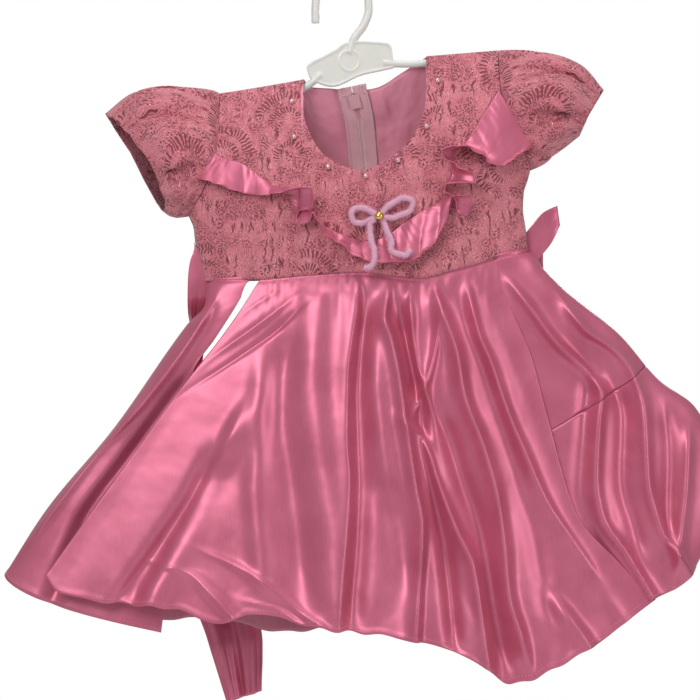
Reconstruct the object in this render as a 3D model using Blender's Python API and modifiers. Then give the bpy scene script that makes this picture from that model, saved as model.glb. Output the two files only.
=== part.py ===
"""A child's party dress of lace and satin, hanging on a plastic hanger.

Metres, +Z up. The front faces -Y, and left and right are as seen from the front.
The origin is the inside top of the hook, where a rail carries the hanger.
Places are given as (x, z) seen from the front, and functions find their depth y.
"""
import math

import bmesh
import bpy
from mathutils import Matrix, Vector

# Walls and clearances
LACE_WALL = 0.0016
SATIN_WALL = 0.0012
LINING_WALL = 0.0010
TAPE_WALL = 0.0010
LAYER_GAP = 0.0004       # between a layer and the layer it lies on
SEAM_GAP = 0.0010        # between the middle surfaces of sewn edges that tilt
FRONT = -1
BACK = 1

# Seam lines along the dress, (x, z)
WAIST_LINE = (
    (-0.118, -0.2650), (-0.071, -0.2640), (-0.036, -0.2610), (0.015, -0.2580),
    (0.065, -0.2630), (0.100, -0.2550), (0.134, -0.2450), (0.160, -0.2390))
SHOULDER_LINE = (
    (-0.145, -0.1080), (-0.105, -0.1030), (-0.033, -0.0910), (0.073, -0.0710),
    (0.134, -0.0660), (0.173, -0.0620))

# The hanging body as a tube: height share, left x, right x, half depth, edge depth
TORSO = (
    (0.000, -0.1180, 0.1600, 0.0300, 0.0007),
    (0.120, -0.1220, 0.1580, 0.0320, 0.0007),
    (0.210, -0.1265, 0.1560, 0.0335, 0.0007),
    (0.290, -0.1280, 0.1570, 0.0345, 0.0007),
    (0.354, -0.1320, 0.1610, 0.0345, 0.0007),
    (0.550, -0.1420, 0.1700, 0.0320, 0.0007),
    (0.700, -0.1450, 0.1730, 0.0265, 0.0008),
    (0.850, -0.1450, 0.1730, 0.0160, 0.0030),
    (0.925, -0.1450, 0.1730, 0.0095, 0.0045),
    (0.969, -0.1450, 0.1730, 0.0052, 0.0050),
    (0.991, -0.1450, 0.1730, 0.0037, 0.0037),
    (1.000, -0.1450, 0.1730, 0.0009, 0.0009))
SIDE_ROUNDNESS = 0.85

# Cut edges of the bodice, (x, z), from the left underarm to the right one
LEFT_ARMHOLE = ((-0.132, -0.209), (-0.115, -0.180), (-0.107, -0.151), (-0.105, -0.103))
RIGHT_ARMHOLE = ((0.134, -0.066), (0.136, -0.101), (0.148, -0.133), (0.162, -0.169))
FRONT_NECK = (
    (-0.033, -0.091), (-0.036, -0.105), (-0.032, -0.127), (-0.014, -0.159), (0.017, -0.171),
    (0.042, -0.160), (0.064, -0.136), (0.073, -0.104), (0.073, -0.071))
BACK_NECK_LEFT = ((-0.033, -0.091), (-0.026, -0.097), (-0.009, -0.098), (0.006, -0.100))
BACK_NECK_RIGHT = ((0.010, -0.100), (0.029, -0.097), (0.052, -0.084), (0.073, -0.071))
# Length shares of the columns along a cut edge, closer where it meets a shoulder seam
ARMHOLE_SHARES = (0.0, 0.07, 0.21, 0.38, 0.56, 0.74, 0.90, 1.0)
ARMHOLE_WAIST_SHARES = tuple(share ** 0.5 for share in ARMHOLE_SHARES)
FRONT_NECK_SHARES = (
    0.0, 0.02, 0.06, 0.13, 0.22, 0.32, 0.43, 0.54, 0.65, 0.75, 0.85, 0.93, 0.98, 1.0)
BACK_NECK_SHARES = (0.0, 0.07, 0.20, 0.45, 0.72, 1.0)
SHOULDER_SHARES = (0.0, 0.33, 0.67, 1.0)
# Turn of each cut corner round the tube at the waist, from -1 (left) to 1 (right)
WAIST_TURNS = (-1.0, -0.52, -0.20, 0.25, 0.52, 1.0)
# Height shares of the rows of a bodice panel, closer where the shoulder rounds over
BODICE_ROWS = (0.0, 0.13, 0.26, 0.39, 0.51, 0.62, 0.72, 0.81, 0.88, 0.93, 0.969, 0.991, 1.0)

# Lining of the back, inside the lace and below the hanger's arms
LINING_DEPTH = 0.0022
LINING_TOP = 0.915
LINING_ROWS = (0.02, 0.13, 0.26, 0.39, 0.51, 0.62, 0.72, 0.81, 0.90, 0.985)

# Back zip: height share and x of the middle of the opening
ZIP_LINE = ((0.00, 0.0210), (0.30, 0.0205), (0.55, 0.0185), (0.75, 0.0150), (0.92, 0.0080))
ZIP_SLOT = 0.0018        # half width of the slot that the coil shows in
ZIP_LOW = 0.03           # height share of the lower end of the zip
ZIP_TOP = 0.885
COIL_TOP = 0.845
COIL_LIFT = -0.0016
COIL_HALF = 0.0014
COIL_THICKNESS = 0.0022
TAPE_OUTER = 0.0125
TAPE_INNER = 0.0018
SLIDER_SHARE = 0.862     # height share of the middle of the slider
# Blocks of the slider, in its own frame: the inner plate, the neck through the slot, the outer plate
SLIDER_BLOCKS = (
    ("zip_slider", (-0.0047, -0.0068, -0.00625), (0.0047, -0.0054, 0.00625)),
    ("slider_neck", (-0.0011, -0.0060, 0.00125), (0.0011, 0.0020, 0.00525)),
    ("slider_plate", (-0.0040, 0.0016, -0.0052), (0.0040, 0.0028, 0.00545)))
ARCH_BASE = 0.0026
ARCH_RADIUS = 0.0031
ARCH_WIRE = 0.0006
# Pull tab, hanging from a bar under the arch: its blocks in the bar's frame
PULL_HINGE = 0.0040      # of the bar off the middle of the lace
PULL_BAR = 0.0006
PULL_BAR_HALF = 0.0024
PULL_BLOCKS = (
    ("pull_arm_left", (-0.0026, -0.0005, -0.0052), (-0.0012, 0.0005, 0.0002)),
    ("pull_arm_right", (0.0012, -0.0005, -0.0052), (0.0026, 0.0005, 0.0002)),
    ("pull_tab", (-0.0026, -0.0006, -0.0200), (0.0026, 0.0006, -0.0048)))

# Skirt front panel
FRONT_LEFT_EDGE = (
    (-0.071, -0.265), (-0.088, -0.292), (-0.108, -0.320), (-0.128, -0.345), (-0.190, -0.430),
    (-0.252, -0.516))
FRONT_RIGHT_EDGE = (
    (0.134, -0.246), (0.137, -0.266), (0.162, -0.330), (0.177, -0.386), (0.201, -0.465),
    (0.239, -0.508), (0.267, -0.537))
FRONT_HEM = (
    (-0.252, -0.516), (-0.240, -0.530), (-0.191, -0.539), (-0.148, -0.542), (-0.102, -0.554),
    (-0.079, -0.547), (-0.010, -0.559), (0.065, -0.569), (0.122, -0.593), (0.143, -0.606),
    (0.190, -0.588), (0.239, -0.557), (0.267, -0.537))
FRONT_WAIST = (-0.071, 0.134)
# Share of the hem from the left edge, and depth there
FRONT_HEM_DEPTH = ((0.0, -0.044), (0.25, -0.060), (0.50, -0.068), (0.80, -0.056), (1.0, -0.038))

# Skirt back panel
BACK_LEFT_EDGE = (
    (-0.071, -0.265), (-0.088, -0.292), (-0.108, -0.320), (-0.128, -0.345), (-0.150, -0.450),
    (-0.168, -0.562))
BACK_RIGHT_EDGE = ((0.130, -0.247), (0.150, -0.330), (0.190, -0.450), (0.232, -0.548))
BACK_HEM = (
    (-0.168, -0.562), (-0.125, -0.560), (-0.092, -0.564), (-0.060, -0.574), (0.015, -0.568),
    (0.090, -0.572), (0.150, -0.574), (0.232, -0.548))
BACK_WAIST = (-0.071, 0.130)
BACK_HEM_DEPTH = ((0.0, 0.036), (0.25, 0.052), (0.50, 0.058), (0.80, 0.052), (1.0, 0.046))

# Side pieces of the skirt, each wrapped round the side from its front to its back edge
LEFT_SIDE_FRONT = (
    (-0.086, -0.266), (-0.102, -0.288), (-0.116, -0.313), (-0.129, -0.345), (-0.134, -0.384),
    (-0.142, -0.469), (-0.154, -0.565))
LEFT_OUTLINE = (
    (-0.1165, -0.266), (-0.118, -0.284), (-0.134, -0.303), (-0.197, -0.392), (-0.255, -0.462),
    (-0.291, -0.518))
LEFT_SIDE_BACK = (
    (-0.086, -0.266), (-0.102, -0.288), (-0.116, -0.313), (-0.1292, -0.345), (-0.1511, -0.450),
    (-0.1690, -0.562))
RIGHT_SIDE_FRONT = (
    (0.137, -0.246), (0.139, -0.300), (0.150, -0.386), (0.176, -0.465), (0.238, -0.545))
RIGHT_OUTLINE = (
    (0.160, -0.240), (0.190, -0.271), (0.239, -0.311), (0.274, -0.351), (0.304, -0.373),
    (0.318, -0.401), (0.324, -0.443), (0.318, -0.482), (0.304, -0.510))
RIGHT_SIDE_BACK = ((0.1312, -0.247), (0.1512, -0.330), (0.1911, -0.450), (0.2330, -0.548))
SIDE_SAG = 0.009         # how far a side hem hangs below the straight line between its ends
RIGHT_JOIN = ((0.0, 0.50), (0.5, 0.415), (1.0, 0.50))    # share round, drop share of the join
JOIN_GAP = 0.0012        # half the join's gap, as a drop share
EASE = 0.75              # how early the skirt stands out below the waist

# Folds: path (x, z) from top to bottom, half width, height out, lean towards the steep side
FRONT_FOLDS = (
    (((0.022, -0.262), (0.017, -0.318), (0.014, -0.405), (0.014, -0.480), (0.008, -0.545)),
     0.0100, 0.0105, -0.5),
    (((0.008, -0.262), (0.002, -0.318), (0.000, -0.405), (-0.001, -0.480), (-0.008, -0.545)),
     0.0055, -0.0070, 0.0),
    (((0.037, -0.276), (0.043, -0.313), (0.052, -0.361), (0.058, -0.405), (0.067, -0.480), (0.062, -0.545)),
     0.0090, 0.0110, 0.5),
    (((0.052, -0.292), (0.062, -0.330), (0.073, -0.357)), 0.0080, 0.0060, 0.0),
    (((0.089, -0.270), (0.099, -0.313), (0.094, -0.343), (0.110, -0.391), (0.124, -0.436), (0.138, -0.500),
      (0.150, -0.570)), 0.0115, 0.0120, 0.3),
    (((0.067, -0.380), (0.089, -0.468), (0.112, -0.520), (0.122, -0.590)), 0.0115, 0.0110, 0.3),
    (((0.116, -0.262), (0.130, -0.313), (0.141, -0.370), (0.164, -0.436), (0.196, -0.490)),
     0.0085, 0.0090, 0.0),
    (((-0.038, -0.290), (-0.085, -0.325), (-0.133, -0.356)), 0.0100, -0.0050, 0.0),
    (((-0.100, -0.400), (-0.130, -0.440), (-0.178, -0.500), (-0.206, -0.545)), 0.0200, -0.0120, 0.0),
    (((-0.060, -0.470), (-0.100, -0.528), (-0.098, -0.560)), 0.0180, 0.0090, 0.0),
    (((-0.030, -0.262), (-0.038, -0.340), (-0.044, -0.450), (-0.050, -0.560)), 0.0140, 0.0060, 0.0))
BACK_FOLDS = (
    (((-0.050, -0.264), (-0.080, -0.400), (-0.110, -0.565)), 0.0150, 0.0095, 0.0),
    (((-0.020, -0.262), (-0.035, -0.400), (-0.045, -0.575)), 0.0120, 0.0085, 0.3),
    (((0.015, -0.260), (0.015, -0.400), (0.015, -0.570)), 0.0130, 0.0105, -0.3),
    (((0.050, -0.262), (0.065, -0.400), (0.080, -0.575)), 0.0120, 0.0085, 0.0),
    (((0.085, -0.258), (0.112, -0.400), (0.140, -0.575)), 0.0140, 0.0100, 0.3),
    (((0.112, -0.252), (0.145, -0.400), (0.190, -0.565)), 0.0120, 0.0070, 0.0))
LEFT_SIDE_FOLDS = (
    (((-0.108, -0.275), (-0.130, -0.330), (-0.175, -0.400), (-0.225, -0.480), (-0.250, -0.520)),
     0.0120, 0.0070, 0.3),
    (((-0.120, -0.330), (-0.150, -0.400), (-0.190, -0.480), (-0.215, -0.540)), 0.0120, -0.0060, 0.0))
RIGHT_SIDE_FOLDS = (
    (((0.143, -0.250), (0.174, -0.300), (0.202, -0.330), (0.220, -0.360), (0.221, -0.437), (0.232, -0.520)),
     0.0120, 0.0095, 0.3),
    (((0.240, -0.330), (0.257, -0.365), (0.262, -0.405), (0.267, -0.455), (0.287, -0.505)),
     0.0110, 0.0075, 0.0),
    (((0.293, -0.380), (0.292, -0.440), (0.285, -0.510)), 0.0070, 0.0050, 0.0))

# Sleeves: rails from the armhole to the hem, (x, y, z)
LEFT_SLEEVE = {
    "under": (
        (-0.1334, 0.000, -0.2096), (-0.139, -0.001, -0.210), (-0.148, -0.002, -0.208),
        (-0.156, -0.003, -0.203)),
    "front": (
        (-0.108, -0.023, -0.151), (-0.122, -0.036, -0.150), (-0.145, -0.037, -0.152),
        (-0.164, -0.021, -0.165)),
    "top": (
        (-0.107, 0.000, -0.102), (-0.120, 0.000, -0.0945), (-0.147, 0.000, -0.0945), (-0.178, 0.000, -0.100),
        (-0.203, 0.000, -0.122)),
    "back": (
        (-0.108, 0.023, -0.151), (-0.124, 0.036, -0.148), (-0.150, 0.038, -0.146), (-0.185, 0.024, -0.152))}
RIGHT_SLEEVE = {
    "under": (
        (0.1634, 0.000, -0.1700), (0.174, -0.001, -0.160), (0.191, -0.002, -0.150), (0.205, -0.002, -0.139)),
    "front": (
        (0.141, -0.023, -0.115), (0.156, -0.037, -0.110), (0.182, -0.040, -0.106), (0.212, -0.022, -0.122)),
    "top": (
        (0.136, 0.000, -0.0652), (0.150, 0.000, -0.0645), (0.178, 0.000, -0.0675), (0.207, 0.000, -0.079),
        (0.226, 0.000, -0.100)),
    "back": (
        (0.141, 0.023, -0.115), (0.156, 0.037, -0.110), (0.182, 0.040, -0.106), (0.214, 0.022, -0.118))}
SLEEVE_GATHERS = 9       # soft gathers round half of a sleeve head
SLEEVE_RIPPLE = 0.0011
SLEEVE_GAP = 0.0018      # between the armhole edge and the middle of the sleeve's first ring
SLEEVE_SPREAD = 0.0060   # how far the gathered head spreads outwards from the armhole

FRILL_GAP = 0.0006       # between the lace and the sewn line of the frill
# Chest frill: share along, sewn line (x, z), free edge (x, z), stand of the free edge
LEFT_FRILL = (
    (0.00, -0.1085, -0.156, -0.1180, -0.179, 0.008), (0.10, -0.100, -0.159, -0.108, -0.185, 0.013),
    (0.20, -0.082, -0.166, -0.088, -0.190, 0.005), (0.30, -0.066, -0.178, -0.066, -0.198, 0.012),
    (0.42, -0.050, -0.188, -0.047, -0.203, 0.003), (0.54, -0.034, -0.195, -0.038, -0.215, 0.015),
    (0.64, -0.022, -0.205, -0.028, -0.220, 0.004), (0.74, -0.010, -0.217, -0.016, -0.230, 0.014),
    (0.85, 0.003, -0.229, -0.001, -0.240, 0.004), (1.00, 0.0238, -0.236, 0.0225, -0.2470, 0.004))
RIGHT_FRILL = (
    (0.00, 0.0250, -0.236, 0.0242, -0.2470, 0.004), (0.13, 0.042, -0.224, 0.050, -0.248, 0.004),
    (0.25, 0.060, -0.210, 0.072, -0.239, 0.007), (0.38, 0.077, -0.195, 0.089, -0.216, 0.015),
    (0.46, 0.084, -0.184, 0.103, -0.208, 0.004), (0.54, 0.088, -0.176, 0.106, -0.191, 0.015),
    (0.62, 0.093, -0.167, 0.108, -0.182, 0.004), (0.72, 0.100, -0.157, 0.121, -0.171, 0.013),
    (0.86, 0.113, -0.138, 0.1435, -0.163, 0.016), (1.00, 0.1275, -0.113, 0.1360, -0.124, 0.003))

# Sash ends, from the side seam: centre (x, z), half width (x, z), depth y
RIGHT_SASH = (
    (0.1640, -0.2380, -0.0060, 0.0110, 0.0040), (0.1785, -0.2175, -0.0035, 0.0130, 0.0030),
    (0.1872, -0.2080, -0.0012, 0.0085, 0.0040), (0.1900, -0.2080, 0.0000, 0.0070, 0.0075),
    (0.1875, -0.2105, 0.0010, 0.0080, 0.0110), (0.1835, -0.2230, 0.0050, 0.0100, 0.0150),
    (0.1800, -0.2400, 0.0120, 0.0060, 0.0200), (0.1770, -0.2600, 0.0160, 0.0020, 0.0240),
    (0.1750, -0.3000, 0.0195, 0.0000, 0.0300), (0.1720, -0.3700, 0.0220, 0.0000, 0.0300),
    (0.1690, -0.4500, 0.0240, 0.0000, 0.0300), (0.1650, -0.5300, 0.0250, 0.0000, 0.0300))
LEFT_SASH = (
    (-0.1283, -0.2340, -0.0004, 0.0030, 0.0000), (-0.1290, -0.2450, 0.0032, 0.0010, -0.0010),
    (-0.1270, -0.2640, 0.0062, 0.0000, -0.0010), (-0.1270, -0.2800, 0.0062, 0.0000, 0.0020),
    (-0.1290, -0.2960, 0.0040, 0.0000, 0.0150), (-0.1270, -0.3150, 0.0060, 0.0000, 0.0290),
    (-0.1380, -0.3600, 0.0150, 0.0000, 0.0300), (-0.1350, -0.4400, 0.0220, 0.0000, 0.0300),
    (-0.1080, -0.5400, 0.0270, 0.0000, 0.0400), (-0.0960, -0.5750, 0.0245, 0.0000, 0.0560),
    (-0.0870, -0.6180, 0.0155, 0.0000, 0.0560))
SASH_LIFT = 0.0052
SASH_CREASE = 0.0018
SASH_REACH = 0.016       # how near the skirt must be for the sash to lie on it

# Beads and bow on the chest, (x, z)
PEARLS = (
    (-0.0430, -0.112), (-0.0405, -0.143), (-0.0120, -0.1685), (0.0200, -0.1765), (0.0480, -0.1630),
    (0.0720, -0.1340), (0.0820, -0.0940))
PEARL_RADIUS = 0.0020
PEARL_GAP = 0.0002
BEAD_PLACE = (0.0300, -0.2100)
BEAD_LIFT = 0.0075       # of its middle off the lace
BEAD_RADIUS = 0.0037
CHENILLE_RADIUS = 0.0034
LOOP_LIFT = 0.0047       # of the middle of a bow's loop off the lace
# Each run of the bow: (x, z, lift off the lace)
BOW_RUNS = {
    "bow_loop_left": (
        (0.0265, -0.2080, LOOP_LIFT), (0.0190, -0.2040, LOOP_LIFT), (0.0110, -0.2030, LOOP_LIFT),
        (0.0060, -0.2070, LOOP_LIFT), (0.0060, -0.2130, LOOP_LIFT), (0.0110, -0.2165, LOOP_LIFT),
        (0.0180, -0.2160, LOOP_LIFT), (0.0242, -0.2150, LOOP_LIFT)),
    "bow_loop_right": (
        (0.0335, -0.2080, LOOP_LIFT), (0.0400, -0.2030, LOOP_LIFT), (0.0480, -0.1970, LOOP_LIFT),
        (0.0550, -0.1960, LOOP_LIFT), (0.0590, -0.2010, LOOP_LIFT), (0.0550, -0.2075, LOOP_LIFT),
        (0.0480, -0.2105, LOOP_LIFT), (0.0425, -0.2117, LOOP_LIFT)),
    "bow_tail_left": (
        (0.0238, -0.2198, 0.0047), (0.0252, -0.2300, 0.0090), (0.0262, -0.2380, 0.0120),
        (0.0262, -0.2460, 0.0140), (0.0240, -0.2515, 0.0140), (0.0195, -0.2535, 0.0130)),
    "bow_tail_right": (
        (0.0365, -0.2162, 0.0047), (0.0380, -0.2250, 0.0080), (0.0420, -0.2340, 0.0110),
        (0.0470, -0.2415, 0.0140), (0.0525, -0.2430, 0.0140), (0.0560, -0.2370, 0.0130))}

# Hanger, (x, z)
PLATE = (
    (-0.0300, -0.0800), (-0.0270, -0.0885), (-0.0090, -0.0960), (0.0170, -0.0860), (0.0370, -0.0815),
    (0.0440, -0.0795), (0.0430, -0.0740), (0.0420, -0.0640), (0.0385, -0.0600), (0.0140, -0.0585),
    (0.0030, -0.0600), (-0.0040, -0.0650), (-0.0180, -0.0725), (-0.0260, -0.0765))
PLATE_HALF = 0.0020
ARM_RADIUS = 0.0033
LEFT_ARM = (
    (-0.0180, -0.0860), (-0.0280, -0.0947), (-0.0370, -0.0997), (-0.0650, -0.1035), (-0.0980, -0.1085))
RIGHT_ARM = (
    (0.0360, -0.0765), (0.0560, -0.0772), (0.0760, -0.0763), (0.0980, -0.0745), (0.1180, -0.0730))
HOOK_RADIUS = 0.0036
HOOK = (
    (0.0060, -0.0680), (0.0100, -0.0560), (0.0190, -0.0430), (0.0230, -0.0300), (0.0222, -0.0170),
    (0.0150, -0.0020), (0.0000, 0.0036), (-0.0150, -0.0020), (-0.0220, -0.0170), (-0.0230, -0.0300),
    (-0.0230, -0.0420))
BOSS_PLACE = (0.0065, -0.0745)
BOSS_RADIUS = 0.0088
BOSS_BEAD = 0.0007

# Colours: base colour, roughness, metallic
FINISHES = {
    "lace": ((0.60, 0.16, 0.21), 0.75, 0.0),
    "satin": ((0.66, 0.21, 0.29), 0.32, 0.25),
    "lining": ((0.48, 0.15, 0.20), 0.80, 0.0),
    "tape": ((0.52, 0.22, 0.26), 0.85, 0.0),
    "chenille": ((0.72, 0.38, 0.50), 0.95, 0.0),
    "pearl": ((0.80, 0.62, 0.62), 0.20, 0.4),
    "brass": ((0.80, 0.55, 0.15), 0.25, 1.0),
    "coil": ((0.55, 0.25, 0.29), 0.55, 0.0),
    "hanger": ((0.76, 0.79, 0.75), 0.35, 0.0)}


def clear_scene():
    for item in list(bpy.data.objects):
        bpy.data.objects.remove(item, do_unlink=True)


def new_collection(name):
    collection = bpy.data.collections.new(name)
    bpy.context.scene.collection.children.link(collection)
    return collection


def make_material(name):
    colour, roughness, metallic = FINISHES[name]
    material = bpy.data.materials.new(name)
    material.use_nodes = True
    shader = material.node_tree.nodes["Principled BSDF"]
    shader.inputs["Base Color"].default_value = (*colour, 1.0)
    shader.inputs["Roughness"].default_value = roughness
    shader.inputs["Metallic"].default_value = metallic
    return material


def read_table(rows, key):
    """Smooth values of a short table's other columns, for a key in its first column."""
    if key <= rows[0][0]:
        return rows[0][1:]
    if key >= rows[-1][0]:
        return rows[-1][1:]
    index = 0
    while rows[index + 1][0] < key:
        index += 1
    span = rows[index + 1][0] - rows[index][0]
    t = (key - rows[index][0]) / span
    values = []
    for column in range(1, len(rows[0])):
        start = rows[index][column]
        end = rows[index + 1][column]
        tangents = [row_slope(rows, index, column), row_slope(rows, index + 1, column)]
        values.append(
            (2 * t ** 3 - 3 * t ** 2 + 1) * start + (t ** 3 - 2 * t ** 2 + t) * span * tangents[0]
            + (3 * t ** 2 - 2 * t ** 3) * end + (t ** 3 - t ** 2) * span * tangents[1])
    return tuple(values)


def row_slope(rows, index, column):
    """Slope at a table row that never overshoots its neighbours."""
    slopes = []
    for first in (index - 1, index):
        if 0 <= first < len(rows) - 1:
            run = rows[first + 1][0] - rows[first][0]
            slopes.append((rows[first + 1][column] - rows[first][column]) / run)
    if len(slopes) == 1:
        return slopes[0]
    if slopes[0] * slopes[1] <= 0:
        return 0.0
    return 2 * slopes[0] * slopes[1] / (slopes[0] + slopes[1])


def path_point(points, share):
    """Point at a share of the length of a smooth path through a few points."""
    rows = [(0.0, *points[0])]
    for first, second in zip(points, points[1:]):
        rows.append((rows[-1][0] + math.dist(first, second), *second))
    return Vector(read_table(rows, min(max(share, 0.0), 1.0) * rows[-1][0]))


def mix(start, end, share):
    return start + (end - start) * share


def smooth_step(start, end, value):
    t = min(max((value - start) / (end - start), 0.0), 1.0)
    return t * t * (3 - 2 * t)


def torso_point(turn, share, side):
    """Point of the hanging body, by its turn round the tube and its height share."""
    left, right, depth, edge = read_table(TORSO, share)
    x = (left + right) / 2 + (right - left) / 2 * math.sin(turn * math.pi / 2)
    waist = read_table(WAIST_LINE, x)[0]
    shoulder = read_table(SHOULDER_LINE, x)[0]
    bulge = max(math.cos(turn * math.pi / 2), 0.0) ** SIDE_ROUNDNESS
    return Vector((x, side * (edge + (depth - edge) * bulge), mix(waist, shoulder, share)))


def torso_place(x, z):
    """Turn and height share of a place on the body seen from the front."""
    waist = read_table(WAIST_LINE, x)[0]
    shoulder = read_table(SHOULDER_LINE, x)[0]
    share = min(max((z - waist) / (shoulder - waist), 0.0), 1.0)
    left, right = read_table(TORSO, share)[:2]
    sine = (2 * x - left - right) / (right - left)
    return math.asin(min(max(sine, -1.0), 1.0)) * 2 / math.pi, share


def torso_normal(turn, share, side):
    """Outward direction of the body's surface."""
    step = 0.004
    right = torso_point(min(turn + step, 1.0), share, side)
    left = torso_point(max(turn - step, -1.0), share, side)
    above = torso_point(turn, min(share + step, 1.0), side)
    below = torso_point(turn, max(share - step, 0.0), side)
    normal = (right - left).cross(above - below).normalized()
    return normal if normal.y * side > 0 else -normal


def torso_spot(x, z, side, lift):
    """Point at a lift off the body's cloth, at a place seen from the front."""
    turn, share = torso_place(x, z)
    return torso_point(turn, share, side) + torso_normal(turn, share, side) * lift


def add_mesh(name, collection, material, vertices, faces):
    mesh = bpy.data.meshes.new(name)
    mesh.from_pydata([tuple(vertex) for vertex in vertices], [], faces)
    mesh.validate()
    mesh.materials.append(material)
    item = bpy.data.objects.new(name, mesh)
    collection.objects.link(item)
    return item


def add_wall(name, collection, material, rows, thickness, closed=False):
    """Cloth through rows of points, given its thickness. A closed wall joins row ends."""
    width = len(rows[0])
    vertices = [point for row in rows for point in row]
    faces = []
    for j in range(len(rows) - 1):
        for i in range(width if closed else width - 1):
            k = (i + 1) % width
            faces.append((j * width + i, j * width + k, (j + 1) * width + k, (j + 1) * width + i))
    item = add_mesh(name, collection, material, vertices, faces)
    item.data.shade_smooth()
    wall = item.modifiers.new("wall", "SOLIDIFY")
    wall.thickness = thickness
    wall.offset = 0.0
    wall.use_even_offset = False
    wall.thickness_clamp = 0.0
    return item


def add_tube(name, collection, material, points, radius, resolution=2):
    """Round rod along a path, with filled ends."""
    curve = bpy.data.curves.new(name, "CURVE")
    curve.dimensions = "3D"
    curve.bevel_depth = radius
    curve.bevel_resolution = resolution
    curve.use_fill_caps = True
    spline = curve.splines.new("POLY")
    spline.points.add(len(points) - 1)
    for index, point in enumerate(points):
        spline.points[index].co = (*point, 1.0)
    curve.materials.append(material)
    item = bpy.data.objects.new(name, curve)
    collection.objects.link(item)
    return item


def make_solid(item):
    """Turn a curve object into a closed mesh object."""
    bpy.context.view_layer.update()
    graph = bpy.context.evaluated_depsgraph_get()
    mesh = bpy.data.meshes.new_from_object(item.evaluated_get(graph))
    sheet = bmesh.new()
    sheet.from_mesh(mesh)
    bmesh.ops.remove_doubles(sheet, verts=sheet.verts, dist=0.00001)
    bmesh.ops.recalc_face_normals(sheet, faces=sheet.faces)
    sheet.to_mesh(mesh)
    sheet.free()
    solid = bpy.data.objects.new(item.name, mesh)
    solid.matrix_world = item.matrix_world
    for collection in item.users_collection:
        collection.objects.link(solid)
    name = item.name
    bpy.data.objects.remove(item, do_unlink=True)
    solid.name = name
    return solid


def join_solids(base, others, cutters):
    """Boolean union of closed objects; the joined ones stay as hidden guides."""
    for other in others:
        union = base.modifiers.new(f"join {other.name}", "BOOLEAN")
        union.operation = "UNION"
        union.object = other
        union.solver = "EXACT"
        for collection in list(other.users_collection):
            collection.objects.unlink(other)
        cutters.objects.link(other)
        other.hide_render = True
        other.display_type = "WIRE"


def shares(count):
    return [index / count for index in range(count + 1)]


def cut_columns(edges, turns):
    """Places on the body along the waist and along the cut edges above it, column by column."""
    bottom = []
    top = []
    for index, (edge, edge_shares, waist_shares) in enumerate(edges):
        first = 1 if index else 0
        for share, waist_share in zip(edge_shares[first:], waist_shares[first:]):
            place = path_point(edge, share)
            top.append(torso_place(place.x, place.y))
            bottom.append((mix(turns[index], turns[index + 1], waist_share), 0.0))
    return bottom, top


def turned(edge):
    """A cut edge with its columns, read from its other end."""
    points, edge_shares, waist_shares = edge
    return (
        tuple(reversed(points)), tuple(1 - share for share in reversed(edge_shares)),
        tuple(1 - share for share in reversed(waist_shares)))


def cut_edges(side):
    """Cut edges above a panel of the bodice: left armhole and shoulder, neck, right shoulder and armhole."""
    right_armhole = turned((tuple(reversed(RIGHT_ARMHOLE)), ARMHOLE_SHARES, ARMHOLE_WAIST_SHARES))
    necks = ((FRONT_NECK, FRONT_NECK_SHARES, FRONT_NECK_SHARES),)
    if side == BACK:
        necks = (
            (BACK_NECK_LEFT, BACK_NECK_SHARES, BACK_NECK_SHARES),
            turned((tuple(reversed(BACK_NECK_RIGHT)), BACK_NECK_SHARES, BACK_NECK_SHARES)))
    return (
        (LEFT_ARMHOLE, ARMHOLE_SHARES, ARMHOLE_WAIST_SHARES),
        ((LEFT_ARMHOLE[-1], FRONT_NECK[0]), SHOULDER_SHARES, SHOULDER_SHARES), *necks,
        ((FRONT_NECK[-1], RIGHT_ARMHOLE[0]), SHOULDER_SHARES, SHOULDER_SHARES), right_armhole)


def bodice_front_rows():
    bottom, top = cut_columns(cut_edges(FRONT), WAIST_TURNS)
    rows = []
    for share in BODICE_ROWS:
        row = []
        for low, high in zip(bottom, top):
            row.append(torso_point(mix(low[0], high[0], share), mix(low[1], high[1], share), FRONT))
        rows.append(row)
    return rows


def zip_turn(share, offset):
    """Turn of a line beside the zip at a height share of the body."""
    x = read_table(ZIP_LINE, share)[0] + offset
    left, right = read_table(TORSO, share)[:2]
    return math.asin((2 * x - left - right) / (right - left)) * 2 / math.pi


def back_rows(hand, slot, row_shares, lift=0.0, highest=1.0):
    """Rows of a back half, from its side seam to the zip. hand is -1 left or 1 right."""
    edges = cut_edges(BACK)
    if hand < 0:
        edges = edges[:3]
        turns = (*WAIST_TURNS[:3], zip_turn(0.0, -slot))
    else:
        edges = tuple(turned(edge) for edge in reversed(edges[3:]))
        turns = (*reversed(WAIST_TURNS[3:]), zip_turn(0.0, slot))
    bottom, top = cut_columns(edges, turns)
    rows = []
    width = len(top)
    for share in row_shares:
        places = [(mix(low[0], high[0], share), mix(low[1], min(high[1], highest), share))
                  for low, high in zip(bottom, top)]
        slip = zip_turn(places[-1][1], hand * slot) - places[-1][0]
        row = []
        for index, (turn, height) in enumerate(places):
            turn += slip * (index / (width - 1)) ** 3
            row.append(torso_point(turn, height, BACK) + torso_normal(turn, height, BACK) * lift)
        rows.append(row)
    return rows


def strip_rows(inner, outer, bottom, top, lift, count, columns):
    """Rows of a strip that follows the zip inside the back."""
    rows = []
    for share in shares(count):
        height = mix(bottom, top, share)
        row = []
        for step in shares(columns):
            turn = zip_turn(height, mix(inner, outer, step))
            row.append(torso_point(turn, height, BACK) + torso_normal(turn, height, BACK) * lift)
        rows.append(row)
    return rows


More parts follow.
